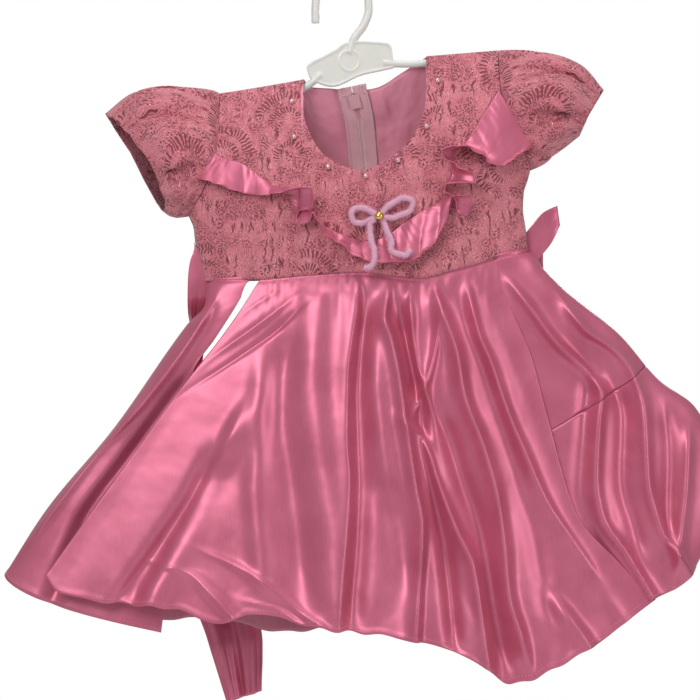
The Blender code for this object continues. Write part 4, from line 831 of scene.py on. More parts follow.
def sidePoints(piece, top, bottom, columns, rows):
    # from the front edge round the outline to the back edge, between two shares of the drop
    turn = np.linspace(0, 1, columns + 1)[None, :]
    drop = mix(top + 0 * turn, bottom + 0 * turn, np.linspace(0, 1, rows + 1)[:, None])
    turn = turn + 0 * drop
    outline = pathPoints(piece["outline"], drop)
    ahead = turn <= 0.5
    edge = np.where(ahead[..., None], pathPoints(piece["front"], drop), pathPoints(piece["back"], drop))
    side = np.where(ahead, front, back)
    reach = 1 - np.abs(2 * turn - 1)
    start = np.where(ahead, waistDepth(np.array(piece["front"][0][0]), front),
                     waistDepth(np.array(piece["back"][0][0]), back))
    later = smoothStep(piece["tuckFrom"], piece["tuckFrom"] + skirt["laterRun"], drop)
    tuck = mix(skirt["waistTuck"] * later, piece["tuck"], smoothStep(0.0, 0.2, drop))
    tuck = np.where(ahead, tuck, -piece["backTuck"] * later)
    depth = mix(start, np.where(ahead, piece["frontDepth"], piece["backDepth"]), drop ** skirt["ease"]) + tuck
    x = mix(edge[..., 0], outline[..., 0], np.sin(reach * math.pi / 2))
    share = (x - edge[..., 0]) / (outline[..., 0] - edge[..., 0])
    z = mix(edge[..., 1], outline[..., 1], share) - piece["sag"] * np.sin(reach * math.pi) * drop ** 3
    y = depth * np.maximum(np.cos(reach * math.pi / 2), 0.0) ** 0.8
    waist = readTable(body["waist"], x)[..., 0] - skirt["gap"]
    z = np.where(drop < 0.05, mix(waist, z, np.minimum(drop / 0.05, 1)), z)
    fade = np.maximum(np.sin(reach * math.pi), 0) ** 0.5 * smoothStep(0.0, 0.08, drop)
    fade = fade * (1 - smoothStep(0.80, 0.97, reach))
    relief = foldHeight(piece["folds"], x, z, np.full_like(x, 0.5)) * fade
    relief = relief + skirt["sideRipple"] * ripples(x, z, skirt["sideRippleSize"], skirt["sideSeed"]) * fade
    relief = np.maximum(relief, -0.4 * np.abs(y))
    return np.stack((x, y + side * relief, z), -1)


def tuckedWaist(points):
    # the top goes in behind the bodice's lower edge and a little way up
    drop = clothMap(points)[..., 1]
    normals = gridNormals(points)
    normals = normals * np.sign(normals[..., 1:2] * points[..., 1:2])
    points = points - normals * (skirt["tuck"] * np.exp(-drop / skirt["tuckRun"]))[..., None]
    above = [points[0] + (0, 0, rise) for rise in skirt["rises"]]
    return np.concatenate((np.stack(above), points))


def turnedHem(points):
    # a narrow turned hem along the last row, and the cloth's lengths before it
    layout = clothMap(points)
    below = layout[-1:, :, 1] - layout[..., 1]
    turned = smoothStep(skirt["hemDepth"] - skirt["hemStep"], skirt["hemDepth"], below)
    rise = skirt["hemRise"] * (1 - turned)
    normals = gridNormals(points) * (-1 if facesInwards(points, False) else 1)
    return points + normals * rise[..., None], layout


join = readTable(rightSide["join"], np.linspace(0, 1, rightSide["columns"] + 1))[:, 0]
skirtGrids = {
    "skirt_front": panelPoints(skirtFront),
    "skirt_back": panelPoints(skirtBack),
    "skirt_side_left": sidePoints(leftSide, 0, 1, leftSide["columns"], 100),
    "skirt_side_right_upper": sidePoints(rightSide, 0, join - rightSide["joinGap"], rightSide["columns"], 60),
    "skirt_side_right_lower": sidePoints(rightSide, join + rightSide["joinGap"], 1, rightSide["columns"], 70)}
for name, points in skirtGrids.items():
    if name != "skirt_side_right_lower":
        points = tuckedWaist(points)
    layout = None
    if name != "skirt_side_right_upper":
        points, layout = turnedHem(points)
    skirtGrids[name] = points
    piece = addCloth(
        f"{name}_satin", points, skirt["wall"], ("satin", "satinInside"), (name,), layout=layout)
print("skirt made")


# Sleeves: rails from the armhole to the hem, (x, y, z); creases as middle, slope, width, depth, end
sleeve = {
    "wall": 0.0008, "gap": 0.0008, "spread": 0.0060, "gathers": 9, "ripple": 0.0016, "rows": 70,
    "columns": 216,
    "flat": (0.27, 0.076),
    "creases": (
        (0.12, 0.10, 0.020, 0.0060, 1.0), (0.22, -0.06, 0.016, 0.0075, 1.2), (0.31, 0.07, 0.014, 0.0065, 1.1),
        (0.39, -0.05, 0.013, 0.0060, 0.9), (0.46, 0.05, 0.012, 0.0040, 0.8), (0.57, 0.06, 0.018, 0.0055, 0.9),
        (0.70, -0.08, 0.022, 0.0065, 1.1), (0.82, 0.05, 0.016, 0.0055, 0.9),
        (0.93, -0.04, 0.020, 0.0040, 0.8)),
    "left": {
        "under": ((-0.1334, 0.000, -0.2096), (-0.139, -0.001, -0.210), (-0.148, -0.002, -0.208),
                  (-0.156, -0.003, -0.203)),
        "front": ((-0.108, -0.023, -0.151), (-0.122, -0.036, -0.150), (-0.145, -0.037, -0.152),
                  (-0.164, -0.021, -0.165)),
        "top": ((-0.107, 0.000, -0.102), (-0.120, 0.000, -0.0945), (-0.147, 0.000, -0.0945),
                (-0.178, 0.000, -0.100), (-0.203, 0.000, -0.122)),
        "back": ((-0.108, 0.023, -0.151), (-0.124, 0.036, -0.148), (-0.150, 0.038, -0.146),
                 (-0.185, 0.024, -0.152))},
    "right": {
        "under": ((0.1634, 0.000, -0.1700), (0.174, -0.001, -0.160), (0.191, -0.002, -0.150),
                  (0.205, -0.002, -0.139)),
        "front": ((0.141, -0.023, -0.115), (0.156, -0.037, -0.110), (0.182, -0.040, -0.106),
                  (0.212, -0.022, -0.122)),
        "top": ((0.136, 0.000, -0.0652), (0.150, 0.000, -0.0645), (0.178, 0.000, -0.0675),
                (0.207, 0.000, -0.079), (0.226, 0.000, -0.100)),
        "back": ((0.141, 0.023, -0.115), (0.156, 0.037, -0.110), (0.182, 0.040, -0.106),
                 (0.214, 0.022, -0.118))}}


def edgeRing(edge, hand):
    # an armhole's edge, set a little outwards for the seam
    spots = pathPoints(edge, np.linspace(0, 1, sleeve["columns"] // 2 + 1))
    step = np.gradient(spots, axis=0)
    outwards = np.stack((hand * step[:, 2], 0 * step[:, 0], -hand * step[:, 0]), -1)
    outwards /= np.linalg.norm(outwards, axis=-1, keepdims=True)
    return spots + outwards * sleeve["gap"]


def armholeRing(hand):
    steps = bodice["holeSteps"] + 1
    over = edgeRing(frontPoints[-1, ::-hand][:steps], hand)
    under = edgeRing(backPoints[hand][-1, :steps], hand)
    for index in (0, -1):
        over[index] = (over[index] + under[index]) / 2
    return np.vstack((over, under[-2:0:-1]))


def sleevePoints(rails, hand):
    share = np.linspace(0, 1, sleeve["rows"] + 1)
    ends = np.stack([pathPoints(rails[name], share) for name in ("under", "front", "top", "back")], 1)
    centre = ends.mean(axis=1)
    angle = np.arange(sleeve["columns"]) / sleeve["columns"]
    quarter = (angle * 4).astype(int) % 4
    local = (angle * 4 - np.floor(angle * 4)) * math.pi / 2
    first = ends[:, quarter] - centre[:, None]
    second = ends[:, (quarter + 1) % 4] - centre[:, None]
    soft = centre[:, None] + first * np.cos(local)[:, None] ** 0.9 + second * np.sin(local)[:, None] ** 0.9
    outwards = soft - centre[:, None]
    outwards /= np.linalg.norm(outwards, axis=-1, keepdims=True)
    run = share[:, None]
    turn = angle[None] * 2 * math.pi
    phase = turn * sleeve["gathers"] + 1.3 * np.sin(turn * 2 + 1) + 0.8 * np.sin(run * 5 + turn)
    ripple = np.sin(phase) + 0.45 * np.sin(phase * 1.7 + 2.0 + hand)
    ripple = ripple * smoothStep(0.0, 0.35, run) * (1 - 0.45 * run)
    crease = 0.0
    for middle, slope, width, depth, until in sleeve["creases"]:
        away = (angle[None] - middle - slope * run + 0.5) % 1.0 - 0.5
        along = np.sin(np.minimum(run / until, 1) * math.pi) ** 0.7
        crease = crease + depth * np.exp(-(away / width) ** 2) * along
    soft = soft + outwards * (ripple * sleeve["ripple"] - crease)[..., None]
    soft[..., 0] += hand * sleeve["spread"] * np.sin(math.pi * np.minimum(2 * run, 1.0))
    pull = ((1 - run) ** 3)[..., None]
    return mix(soft, armholeRing(hand)[None], pull)


width, length = sleeve["flat"]
sleeveMap = np.stack(np.meshgrid(
    np.linspace(0, width, sleeve["columns"] + 1), np.linspace(0, length, sleeve["rows"] + 1)), -1)
for hand, name in hands:
    points = sleevePoints(sleeve[name], hand)
    piece = addCloth(
        f"sleeve_{name}_lace", points, sleeve["wall"], ("lace", "laceShadedInside"), (f"sleeve_{name}",),
        layout=sleeveMap, closed=True)
print("sleeves made")


# Sash ends, from the side seam: centre (x, z), half width (x, z), depth y; steps along
sash = {
    "wall": 0.0006, "lift": 0.0062, "pleat": 0.00144, "reach": 0.010, "free": 0.006, "cup": 0.004,
    "calm": 0.0015, "ribs": 6, "grid": (170, 36),
    "sash_right": ((
        (0.1600, -0.2400, -0.0060, 0.0110, 0.0040), (0.1785, -0.2175, -0.0035, 0.0130, 0.0030),
        (0.1872, -0.2080, -0.0012, 0.0085, 0.0040), (0.1900, -0.2080, 0.0000, 0.0070, 0.0075),
        (0.1868, -0.2110, 0.0010, 0.0070, 0.0110), (0.1785, -0.2230, 0.0045, 0.0070, 0.0150),
        (0.1665, -0.2400, 0.0080, 0.0045, 0.0200), (0.1650, -0.2600, 0.0115, 0.0020, 0.0240),
        (0.1700, -0.3000, 0.0170, 0.0000, 0.0300), (0.1720, -0.3700, 0.0220, 0.0000, 0.0300),
        (0.1690, -0.4500, 0.0240, 0.0000, 0.0300), (0.1650, -0.5300, 0.0250, 0.0000, 0.0300)), 27),
    "sash_left": ((
        (-0.1275, -0.2340, -0.0004, 0.0030, -0.0010), (-0.1260, -0.2450, 0.0050, 0.0010, -0.0030),
        (-0.1240, -0.2640, 0.0092, 0.0000, -0.0030), (-0.1238, -0.2800, 0.0098, 0.0000, -0.0010),
        (-0.1270, -0.2980, 0.0070, 0.0000, 0.0050), (-0.1270, -0.3150, 0.0060, 0.0000, 0.0290),
        (-0.1380, -0.3600, 0.0150, 0.0000, 0.0300), (-0.1350, -0.4400, 0.0220, 0.0000, 0.0300),
        (-0.1080, -0.5400, 0.0270, 0.0000, 0.0400), (-0.0960, -0.5750, 0.0245, 0.0020, 0.0560),
        (-0.0868, -0.6310, 0.0155, 0.0050, 0.0560)), 29)}


def sashPoints(table, count, behind):
    # the end hangs over the skirt behind it, and its depth is calmed before its pleats are laid in
    table = np.array(table)
    steps = np.linalg.norm(np.diff(table[:, (0, 1, 4)], axis=0), axis=1)
    runs = np.concatenate(([0.0], np.cumsum(steps)))
    values = readTable(np.column_stack((runs, table)), np.linspace(0, 1, count + 1) * runs[-1])
    side = np.linspace(-1, 1, sash["ribs"])
    x = values[:, 0:1] + values[:, 2:3] * side
    z = values[:, 1:2] + values[:, 3:4] * side
    far = np.hypot(x[..., None] - behind[:, 0], z[..., None] - behind[:, 2])
    under = np.where(far < sash["reach"], behind[:, 1] + sash["lift"], -1.0).max(axis=-1)
    under = np.where(values[:, 4:5] < sash["free"], -1.0, under)
    depth = np.maximum(values[:, 4:5] + 0 * x, under)
    depth = np.maximum(depth.max(axis=1)[:, None] - sash["cup"], depth)
    calm = np.array([depth[max(0, k - 1):k + 2].mean(axis=0) for k in range(len(depth))])
    depth = np.maximum(calm, depth - sash["calm"])
    rows, columns = sash["grid"]
    points = refine(np.stack((x, depth, z), -1), rows, columns)
    across = np.linspace(-1, 1, columns + 1)[None, :]
    along = np.linspace(0, 1, rows + 1)[:, None]
    pleat = np.cos(across * math.pi * 2 + 0.5 * np.sin(along * 9))
    pleat = pleat + 0.35 * np.cos(across * math.pi * 5 + along * 7)
    fade = smoothStep(0.05, 0.3, along) * (1 + 1.2 * smoothStep(0.8, 0.95, along))
    points[..., 1] += sash["pleat"] * pleat * fade
    return points


coarse = [skirtGrids["skirt_back"][::5, ::5].reshape(-1, 3)]
for name in ("skirt_side_left", "skirt_side_right_upper", "skirt_side_right_lower"):
    points = skirtGrids[name][::5, ::4].reshape(-1, 3)
    coarse.append(points[points[:, 1] > 0])
coarse = np.vstack(coarse)
for name in ("sash_right", "sash_left"):
    points = sashPoints(*sash[name], coarse)
    piece = addCloth(f"{name}_satin", points, sash["wall"], ("satin", "satin"), (name,))
print("sashes made")


# Chest frill, drawn on the grid: sewn line, free edge, how far the free edge stands off the lace; columns
frill = {
    "wall": 0.0005, "lift": 0.0012, "curl": 1.2, "tuck": 0.0006, "tuckPitch": 0.0105,
    "hemRadius": 0.0006, "rows": 26,
    "frill_left": ((
        (214, 152, 198, 176, 0.005), (220, 156, 206, 179, 0.008), (229, 159, 221, 184, 0.010),
        (240, 162, 236, 190, 0.007), (248, 167, 248, 193, 0.004), (258, 175, 262, 195, 0.009),
        (268, 182, 280, 194, 0.013), (278, 187, 298, 189, 0.016), (284, 190, 311, 190, 0.017),
        (287, 193, 316, 199, 0.016), (289, 197, 310, 208, 0.011), (291, 200, 299, 212, 0.007),
        (293, 203, 295, 218, 0.006), (296, 205, 302, 223, 0.008), (300, 206, 311, 219, 0.011),
        (304, 207, 315, 213, 0.012), (309, 211, 318, 220, 0.012), (317, 219, 323, 230, 0.010),
        (327, 227, 332, 237, 0.009), (338, 233, 341, 242, 0.007), (350, 237, 351, 247, 0.005),
        (360, 240, 360, 250, 0.004)), 260),
    "frill_right": ((
        (343, 236, 341, 241, 0.007), (352, 239, 349, 251, 0.009), (364, 241, 361, 257, 0.010),
        (380, 238, 381, 261, 0.010), (394, 230, 404, 260, 0.010), (404, 222, 422, 252, 0.009),
        (413, 216, 435, 237, 0.009), (422, 211, 444, 220, 0.010), (430, 207, 448, 203, 0.011),
        (435, 204, 450, 196, 0.008), (440, 201, 457, 195, 0.011), (444, 199, 465, 196, 0.012),
        (446, 197, 467, 203, 0.010), (448, 196, 464, 214, 0.006), (449, 195, 458, 212, 0.004),
        (449, 193, 456, 201, 0.005), (448, 191, 449, 194, 0.008), (447, 189, 441, 189, 0.010),
        (447, 185, 447, 184, 0.013), (449, 181, 461, 183, 0.016), (451, 177, 470, 182, 0.016),
        (452, 173, 469, 176, 0.014), (452, 168, 457, 167, 0.012), (453, 163, 444, 159, 0.011),
        (455, 157, 441, 153, 0.013), (458, 151, 448, 148, 0.016), (462, 147, 461, 148, 0.017),
        (465, 143, 475, 154, 0.017), (468, 139, 486, 162, 0.015), (474, 129, 497, 165, 0.012),
        (482, 116, 510, 157, 0.010), (491, 102, 523, 148, 0.008), (500, 88, 532, 142, 0.006)), 380)}


def frillPoints(table, rows, columns):
    table = np.array(table, float)
    keyed = np.column_stack((gridSpots(table[:, :2]), gridSpots(table[:, 2:4]), table[:, 4]))
    sewnSteps = np.linalg.norm(np.diff(keyed[:, :2], axis=0), axis=1)
    freeSteps = np.linalg.norm(np.diff(keyed[:, 2:], axis=0), axis=1)
    runs = np.concatenate(([0.0], np.cumsum(freeSteps + 0.5 * sewnSteps)))
    values = readTable(np.column_stack((runs, keyed)), np.linspace(0, 1, columns + 1) * runs[-1])
    step = np.linspace(0, 1, rows + 1)[:, None]
    x = mix(values[:, 0], values[:, 2], step)
    z = mix(values[:, 1], values[:, 3], step)
    along = np.linspace(0, runs[-1], columns + 1)[None, :]
    tucks = np.sin(along * 2 * math.pi / frill["tuckPitch"] + 3 * np.sin(along * 71))
    tucks = tucks * (0.6 + 0.4 * np.sin(along * 130)) * np.exp(-step * 3.2) * step ** 0.3
    lift = frill["lift"] + values[:, 4] * step ** frill["curl"] + frill["tuck"] * tucks
    return bodySpots(x, z, front, lift)[::-1]


frillEdges = []
for name in ("frill_left", "frill_right"):
    table, columns = frill[name]
    points = frillPoints(table, frill["rows"], columns)
    frillEdges.append(points[0])
    piece = addCloth(f"{name}_satin", points, frill["wall"], ("satin", "satin"), (name,))
print("frills made")


# Things that repeat: node trees with named sizes

def newTree(name, *sizes):
    tree = bpy.data.node_groups.new(name, "GeometryNodeTree")
    for way in ("INPUT", "OUTPUT"):
        tree.interface.new_socket("Geometry", in_out=way, socket_type="NodeSocketGeometry")
    for label in sizes:
        tree.interface.new_socket(label, in_out="INPUT", socket_type="NodeSocketFloat")
    tree.interface.new_socket("Material", in_out="INPUT", socket_type="NodeSocketMaterial")
    return tree, addNode(tree, "NodeGroupInput").outputs, addNode(tree, "NodeGroupOutput")


def endTree(tree, geometry, material, end):
    real = addNode(tree, "GeometryNodeRealizeInstances", {0: geometry})
    painted = addNode(tree, "GeometryNodeSetMaterial", {"Geometry": real.outputs[0], "Material": material})
    tree.links.new(painted.outputs[0], end.inputs[0])
    return tree


def lineMesh(name, lines, ups=None):
    # separate lines of points, with the way that is up at each
    vertices = []
    edges = []
    for line in lines:
        edges += [(len(vertices) + k, len(vertices) + k + 1) for k in range(len(line) - 1)]
        vertices += [tuple(point) for point in line]
    mesh = bpy.data.meshes.new(name)
    mesh.from_pydata(vertices, edges, [])
    if ups is not None:
        layer = mesh.attributes.new("up", "FLOAT_VECTOR", "POINT")
        layer.data.foreach_set("vector", np.vstack(ups).astype(np.float32).ravel())
    return mesh


def growPiece(name, mesh, tree, values, nodes=()):
    maker = placeObject(f"{name}_path", mesh)
    modifier = maker.modifiers.new(tree.name, "NODES")
    modifier.node_group = tree
    for socket in tree.interface.items_tree:
        if socket.item_type == "SOCKET" and socket.in_out == "INPUT" and socket.name in values:
            modifier[socket.identifier] = values[socket.name]
    grown = plainMesh(maker)
    grown.name = name
    return newPiece(name, grown, nodes)


def makeStitchTree():
    # short thread stitches that lie along lines on the cloth, tilted to one side and the other in turn
    tree, start, end = newTree("stitchRun", "Pitch", "Length", "Radius", "Tilt")
    curve = addNode(tree, "GeometryNodeMeshToCurve", {0: start["Geometry"]})
    spaced = addNode(
        tree, "GeometryNodeResampleCurve", {"Curve": curve.outputs[0], "Length": start["Pitch"]},
        mode="LENGTH")
    tangent = addNode(tree, "GeometryNodeInputTangent")
    up = addNode(tree, "GeometryNodeInputNamedAttribute", {"Name": "up"}, data_type="FLOAT_VECTOR")
    lying = addNode(tree, "FunctionNodeAlignRotationToVector", {"Vector": up.outputs[0]}, axis="Z")
    facing = addNode(tree, "FunctionNodeAlignRotationToVector", {
        "Rotation": lying.outputs[0], "Vector": tangent.outputs[0]}, axis="X", pivot_axis="Z")
    odd = calc(tree, "MODULO", addNode(tree, "GeometryNodeInputIndex").outputs[0], 2.0)
    tilt = times(tree, calc(tree, "MULTIPLY_ADD", odd, 2.0, -1.0), start["Tilt"])
    turn = addNode(tree, "ShaderNodeCombineXYZ", {2: tilt})
    turned = addNode(
        tree, "FunctionNodeRotateRotation", {0: facing.outputs[0], 1: turn.outputs[0]},
        rotation_space="LOCAL")
    bead = addNode(tree, "GeometryNodeMeshUVSphere", {"Segments": 6, "Rings": 5, "Radius": 1.0})
    size = addNode(tree, "ShaderNodeCombineXYZ", {
        0: times(tree, start["Length"], 0.5), 1: start["Radius"], 2: start["Radius"]})
    shaped = addNode(tree, "GeometryNodeTransform", {"Geometry": bead.outputs[0], "Scale": size.outputs[0]})
    placed = addNode(tree, "GeometryNodeInstanceOnPoints", {
        "Points": spaced.outputs[0], "Instance": shaped.outputs[0], "Rotation": turned.outputs[0]})
    return endTree(tree, placed.outputs[0], start["Material"], end)


def makeCordTree():
    # a round cord along lines
    tree, start, end = newTree("cordRun", "Radius")
    curve = addNode(tree, "GeometryNodeMeshToCurve", {0: start["Geometry"]})
    ring = addNode(tree, "GeometryNodeCurvePrimitiveCircle", {"Resolution": 8, "Radius": start["Radius"]})
    tube = addNode(tree, "GeometryNodeCurveToMesh", {
        "Curve": curve.outputs[0], "Profile Curve": ring.outputs[0], "Fill Caps": True})
    smooth = addNode(tree, "GeometryNodeSetShadeSmooth", {0: tube.outputs[0]})
    return endTree(tree, smooth.outputs[0], start["Material"], end)


def makeBeadTree():
    # one bead on each point
    tree, start, end = newTree("beadRow", "Radius")
    ball = addNode(tree, "GeometryNodeMeshUVSphere", {"Segments": 28, "Rings": 18, "Radius": start["Radius"]})
    placed = addNode(tree, "GeometryNodeInstanceOnPoints", {
        "Points": start["Geometry"], "Instance": ball.outputs[0]})
    smooth = addNode(tree, "GeometryNodeSetShadeSmooth", {0: placed.outputs[0]})
    return endTree(tree, smooth.outputs[0], start["Material"], end)


def makePileTree():
    # soft fibres all over a yarn, kept together with the yarn itself
    tree, start, end = newTree("yarnPile", "Density", "Length", "Radius")
    spread = addNode(tree, "GeometryNodeDistributePointsOnFaces", {
        "Mesh": start["Geometry"], "Density": start["Density"], "Seed": 7})
    lean = addNode(tree, "FunctionNodeRandomValue", {0: (-0.6, -0.6, -0.6), 1: (0.6, 0.6, 0.6), "Seed": 3},
                   data_type="FLOAT_VECTOR")
    way = vectorCalc(tree, "ADD", spread.outputs["Normal"], lean.outputs[0])
    facing = addNode(tree, "FunctionNodeAlignRotationToVector", {"Vector": way}, axis="Z")
    fibre = addNode(tree, "GeometryNodeMeshCone", {
        "Vertices": 3, "Radius Top": 0.0, "Radius Bottom": start["Radius"], "Depth": start["Length"]},
        fill_type="NONE")
    size = addNode(tree, "FunctionNodeRandomValue", {2: 0.6, 3: 1.15, "Seed": 5}, data_type="FLOAT")
    placed = addNode(tree, "GeometryNodeInstanceOnPoints", {
        "Points": spread.outputs["Points"], "Instance": fibre.outputs[0], "Rotation": facing.outputs[0],
        "Scale": size.outputs[1]})
    joined = addNode(tree, "GeometryNodeJoinGeometry")
    tree.links.new(start["Geometry"], joined.inputs[0])
    tree.links.new(placed.outputs[0], joined.inputs[0])
    return endTree(tree, joined.outputs[0], start["Material"], end)


stitchRun = makeStitchTree()
cordRun = makeCordTree()
beadRow = makeBeadTree()
yarnPile = makePileTree()

# Sewing thread: how far the hem's and the neck's stitches run from the edge
thread = {
    "sizes": {"Pitch": 0.0030, "Length": 0.0024, "Radius": 0.00022, "Tilt": 0.0}, "lift": 0.00008,
    "hemDepth": 0.0038, "neckRow": -7, "neckLift": 0.0001}


def rowLine(points, depth, lift):
    # a line that runs the given length above the last row of a cloth, on its outside
    layout = clothMap(points)
    below = layout[-1:, :, 1] - layout[..., 1]
    index = np.argmin(np.abs(below - depth), axis=0)
    columns = np.arange(points.shape[1])
    normals = gridNormals(points)[index, columns] * (-1 if facesInwards(points, False) else 1)
    return points[index, columns] + normals * lift, normals


def sewLines(name, lines, ups, sizes, material, nodes=()):
    values = {**sizes, "Material": materials[material]}
    growPiece(name, lineMesh(f"{name}_lines", lines, ups), stitchRun, values, nodes)


lines = []
ups = []
for name in ("skirt_front", "skirt_back", "skirt_side_left", "skirt_side_right_lower"):
    line, up = rowLine(skirtGrids[name], thread["hemDepth"], skirt["wall"] / 2 + thread["lift"])
    lines.append(line[2:-2])
    ups.append(up[2:-2])
sewLines("hem_stitches", lines, ups, thread["sizes"], "thread")

lines = []
ups = []
neckFrom = bodice["holeSteps"] + bodice["shoulderSteps"]
for points, side, steps in ((frontPoints, front, bodice["frontNeckSteps"]),
                            (backPoints[-1], back, bodice["backNeckSteps"]),
                            (backPoints[1], back, bodice["backNeckSteps"])):
    span = slice(neckFrom, neckFrom + steps + 1)
    up = gridNormals(points)[thread["neckRow"], span]
    up = up * np.sign(up[:, 1:2] * side)
    lines.append(points[thread["neckRow"], span] + up * (bodice["wall"] / 2 + thread["neckLift"]))
    ups.append(up)
sewLines("neck_stitches", lines, ups, thread["sizes"], "thread")

inwards = np.array([(0.0, -1.0, 0.0)])
lines = [zipStrip(hand, zipper["overlockInner"], zipper["overlockLift"], 1).mean(axis=1) for hand, _ in hands]
ups = [inwards.repeat(len(line), axis=0) for line in lines]
sewLines("tape_overlock", lines, ups, zipper["overlock"], "overlock")

height = np.linspace(zipper["low"], zipper["coilTop"], 120)
lines = []
for hand, _ in hands:
    turn = zipTurn(height, hand * zipper["coilHalf"])
    lines.append(bodyPoints(turn, height, back) + bodyNormals(turn, height, back) * zipper["coilLift"])
ups = [inwards.repeat(len(line), axis=0) for line in lines]
sewLines("zip_coil_teeth", lines, ups, zipper["teeth"], "coil", ("zip_coil",))

growPiece("frill_hems", lineMesh("frill_lines", frillEdges), cordRun,
          {"Radius": frill["hemRadius"], "Material": materials["satin"]})
print("stitches and zip made")


# Pearls round the neck and the bow, (x, z)
trim = {
    "pearls": ((-0.0430, -0.112), (-0.0405, -0.143), (-0.0120, -0.1685), (0.0200, -0.1765), (0.0480, -0.1630),
               (0.0720, -0.1340), (0.0820, -0.0940)),
    "pearlRadius": 0.0023, "pearlGap": 0.0001,
    "bead": (0.0300, -0.2100), "beadLift": 0.0075, "beadRadius": 0.0037, "beadFlat": 0.92, "beadDent": 0.02,
    "yarnRadius": 0.0024, "pile": {"Density": 900000.0, "Length": 0.0026, "Radius": 0.00014}}
bow = {
    "bow_loop_left": (
        (0.0285, -0.2090, 0.0050), (0.0235, -0.2055, 0.0048), (0.0165, -0.2035, 0.0047),
        (0.0100, -0.2040, 0.0047),
        (0.0070, -0.2085, 0.0047), (0.0090, -0.2140, 0.0047), (0.0150, -0.2160, 0.0047),
        (0.0220, -0.2145, 0.0048),
        (0.0285, -0.2105, 0.0050)),
    "bow_loop_right": (
        (0.0315, -0.2090, 0.0050), (0.0380, -0.2035, 0.0048), (0.0450, -0.1980, 0.0047),
        (0.0530, -0.1950, 0.0047),
        (0.0590, -0.1985, 0.0047), (0.0570, -0.2050, 0.0047), (0.0500, -0.2095, 0.0047),
        (0.0420, -0.2115, 0.0048),
        (0.0320, -0.2110, 0.0050)),
    "bow_tail_left": (
        (0.0275, -0.2125, 0.0052), (0.0245, -0.2170, 0.0055), (0.0250, -0.2300, 0.0090),
        (0.0262, -0.2390, 0.0130),
        (0.0265, -0.2470, 0.0150), (0.0243, -0.2520, 0.0150), (0.0200, -0.2540, 0.0140)),
    "bow_tail_right": (
        (0.0325, -0.2125, 0.0052), (0.0362, -0.2160, 0.0055), (0.0385, -0.2250, 0.0090),
        (0.0425, -0.2345, 0.0130),
        (0.0475, -0.2410, 0.0150), (0.0535, -0.2425, 0.0150), (0.0580, -0.2390, 0.0140))}
spots = np.array(trim["pearls"])
spots = bodySpots(
    spots[:, 0], spots[:, 1], front, bodice["wall"] / 2 + trim["pearlRadius"] + trim["pearlGap"])
pearlMesh = bpy.data.meshes.new("pearl_spots")
pearlMesh.from_pydata(spots.tolist(), [], [])
growPiece(
    "pearl_beads", pearlMesh, beadRow,
    {"Radius": trim["pearlRadius"], "Material": materials["pearl"]},
    tuple(f"pearl_{index + 1}" for index in range(len(spots))))


def lathe(name, profile, centre, outwards, segments, material, nodes):
    # a turned form: (radius, height) along the way outwards, closed at both ends
    turnTo = Vector(outwards).to_track_quat("Z", "Y").to_matrix()
    sheet = bmesh.new()
    rings = []
    for radius, height in profile:
        ring = []
        for index in range(segments if radius else 1):
            angle = 2 * math.pi * index / segments
            spot = Vector((radius * math.cos(angle), radius * math.sin(angle), height))
            ring.append(sheet.verts.new(Vector(centre) + turnTo @ spot))
        rings.append(ring)
    for lower, upper in zip(rings, rings[1:]):
        for index in range(segments):
            after = (index + 1) % segments
            corners = (lower[index % len(lower)], lower[after % len(lower)], upper[after % len(upper)],
                       upper[index % len(upper)])
            sheet.faces.new(list(dict.fromkeys(corners)))
    bmesh.ops.recalc_face_normals(sheet, faces=sheet.faces)
    mesh = bpy.data.meshes.new(name)
    sheet.to_mesh(mesh)
    sheet.free()
    mesh.materials.append(material)
    mesh.shade_smooth()
    return newPiece(name, mesh, nodes)


half = trim["beadRadius"] * trim["beadFlat"]
profile = [(0.0, -half)]
for index in range(1, 20):
    angle = math.pi * index / 20
    dent = 1 + trim["beadDent"] * math.cos(index * 1.9)
    profile.append((trim["beadRadius"] * math.sin(angle) * dent, -half * math.cos(angle)))
profile.append((0.0, half))
beadSpot = bodySpots(*trim["bead"], front, trim["beadLift"])
lathe("gold_bead", profile, beadSpot, (0, -1, 0), 36, materials["brass"], ("bow_bead",))

for name, run in bow.items():
    spots = pathPoints(run, np.linspace(0, 1, 60))
    points = bodySpots(spots[:, 0], spots[:, 1], front, spots[:, 2])
    curve = bpy.data.curves.new(name, "CURVE")
    curve.dimensions = "3D"
    curve.bevel_depth = trim["yarnRadius"]
    curve.bevel_resolution = 4
    curve.use_fill_caps = True
    spline = curve.splines.new("POLY")
    spline.points.add(len(points) - 1)
    spline.points.foreach_set("co", np.column_stack((points, np.ones(len(points)))).ravel())
    mesh = plainMesh(placeObject(f"{name}_run", curve))
    values = {**trim["pile"], "Material": materials["chenille"]}
    growPiece(f"{name}_yarn", mesh, yarnPile, values, (name,))
print("pearls and bow made")


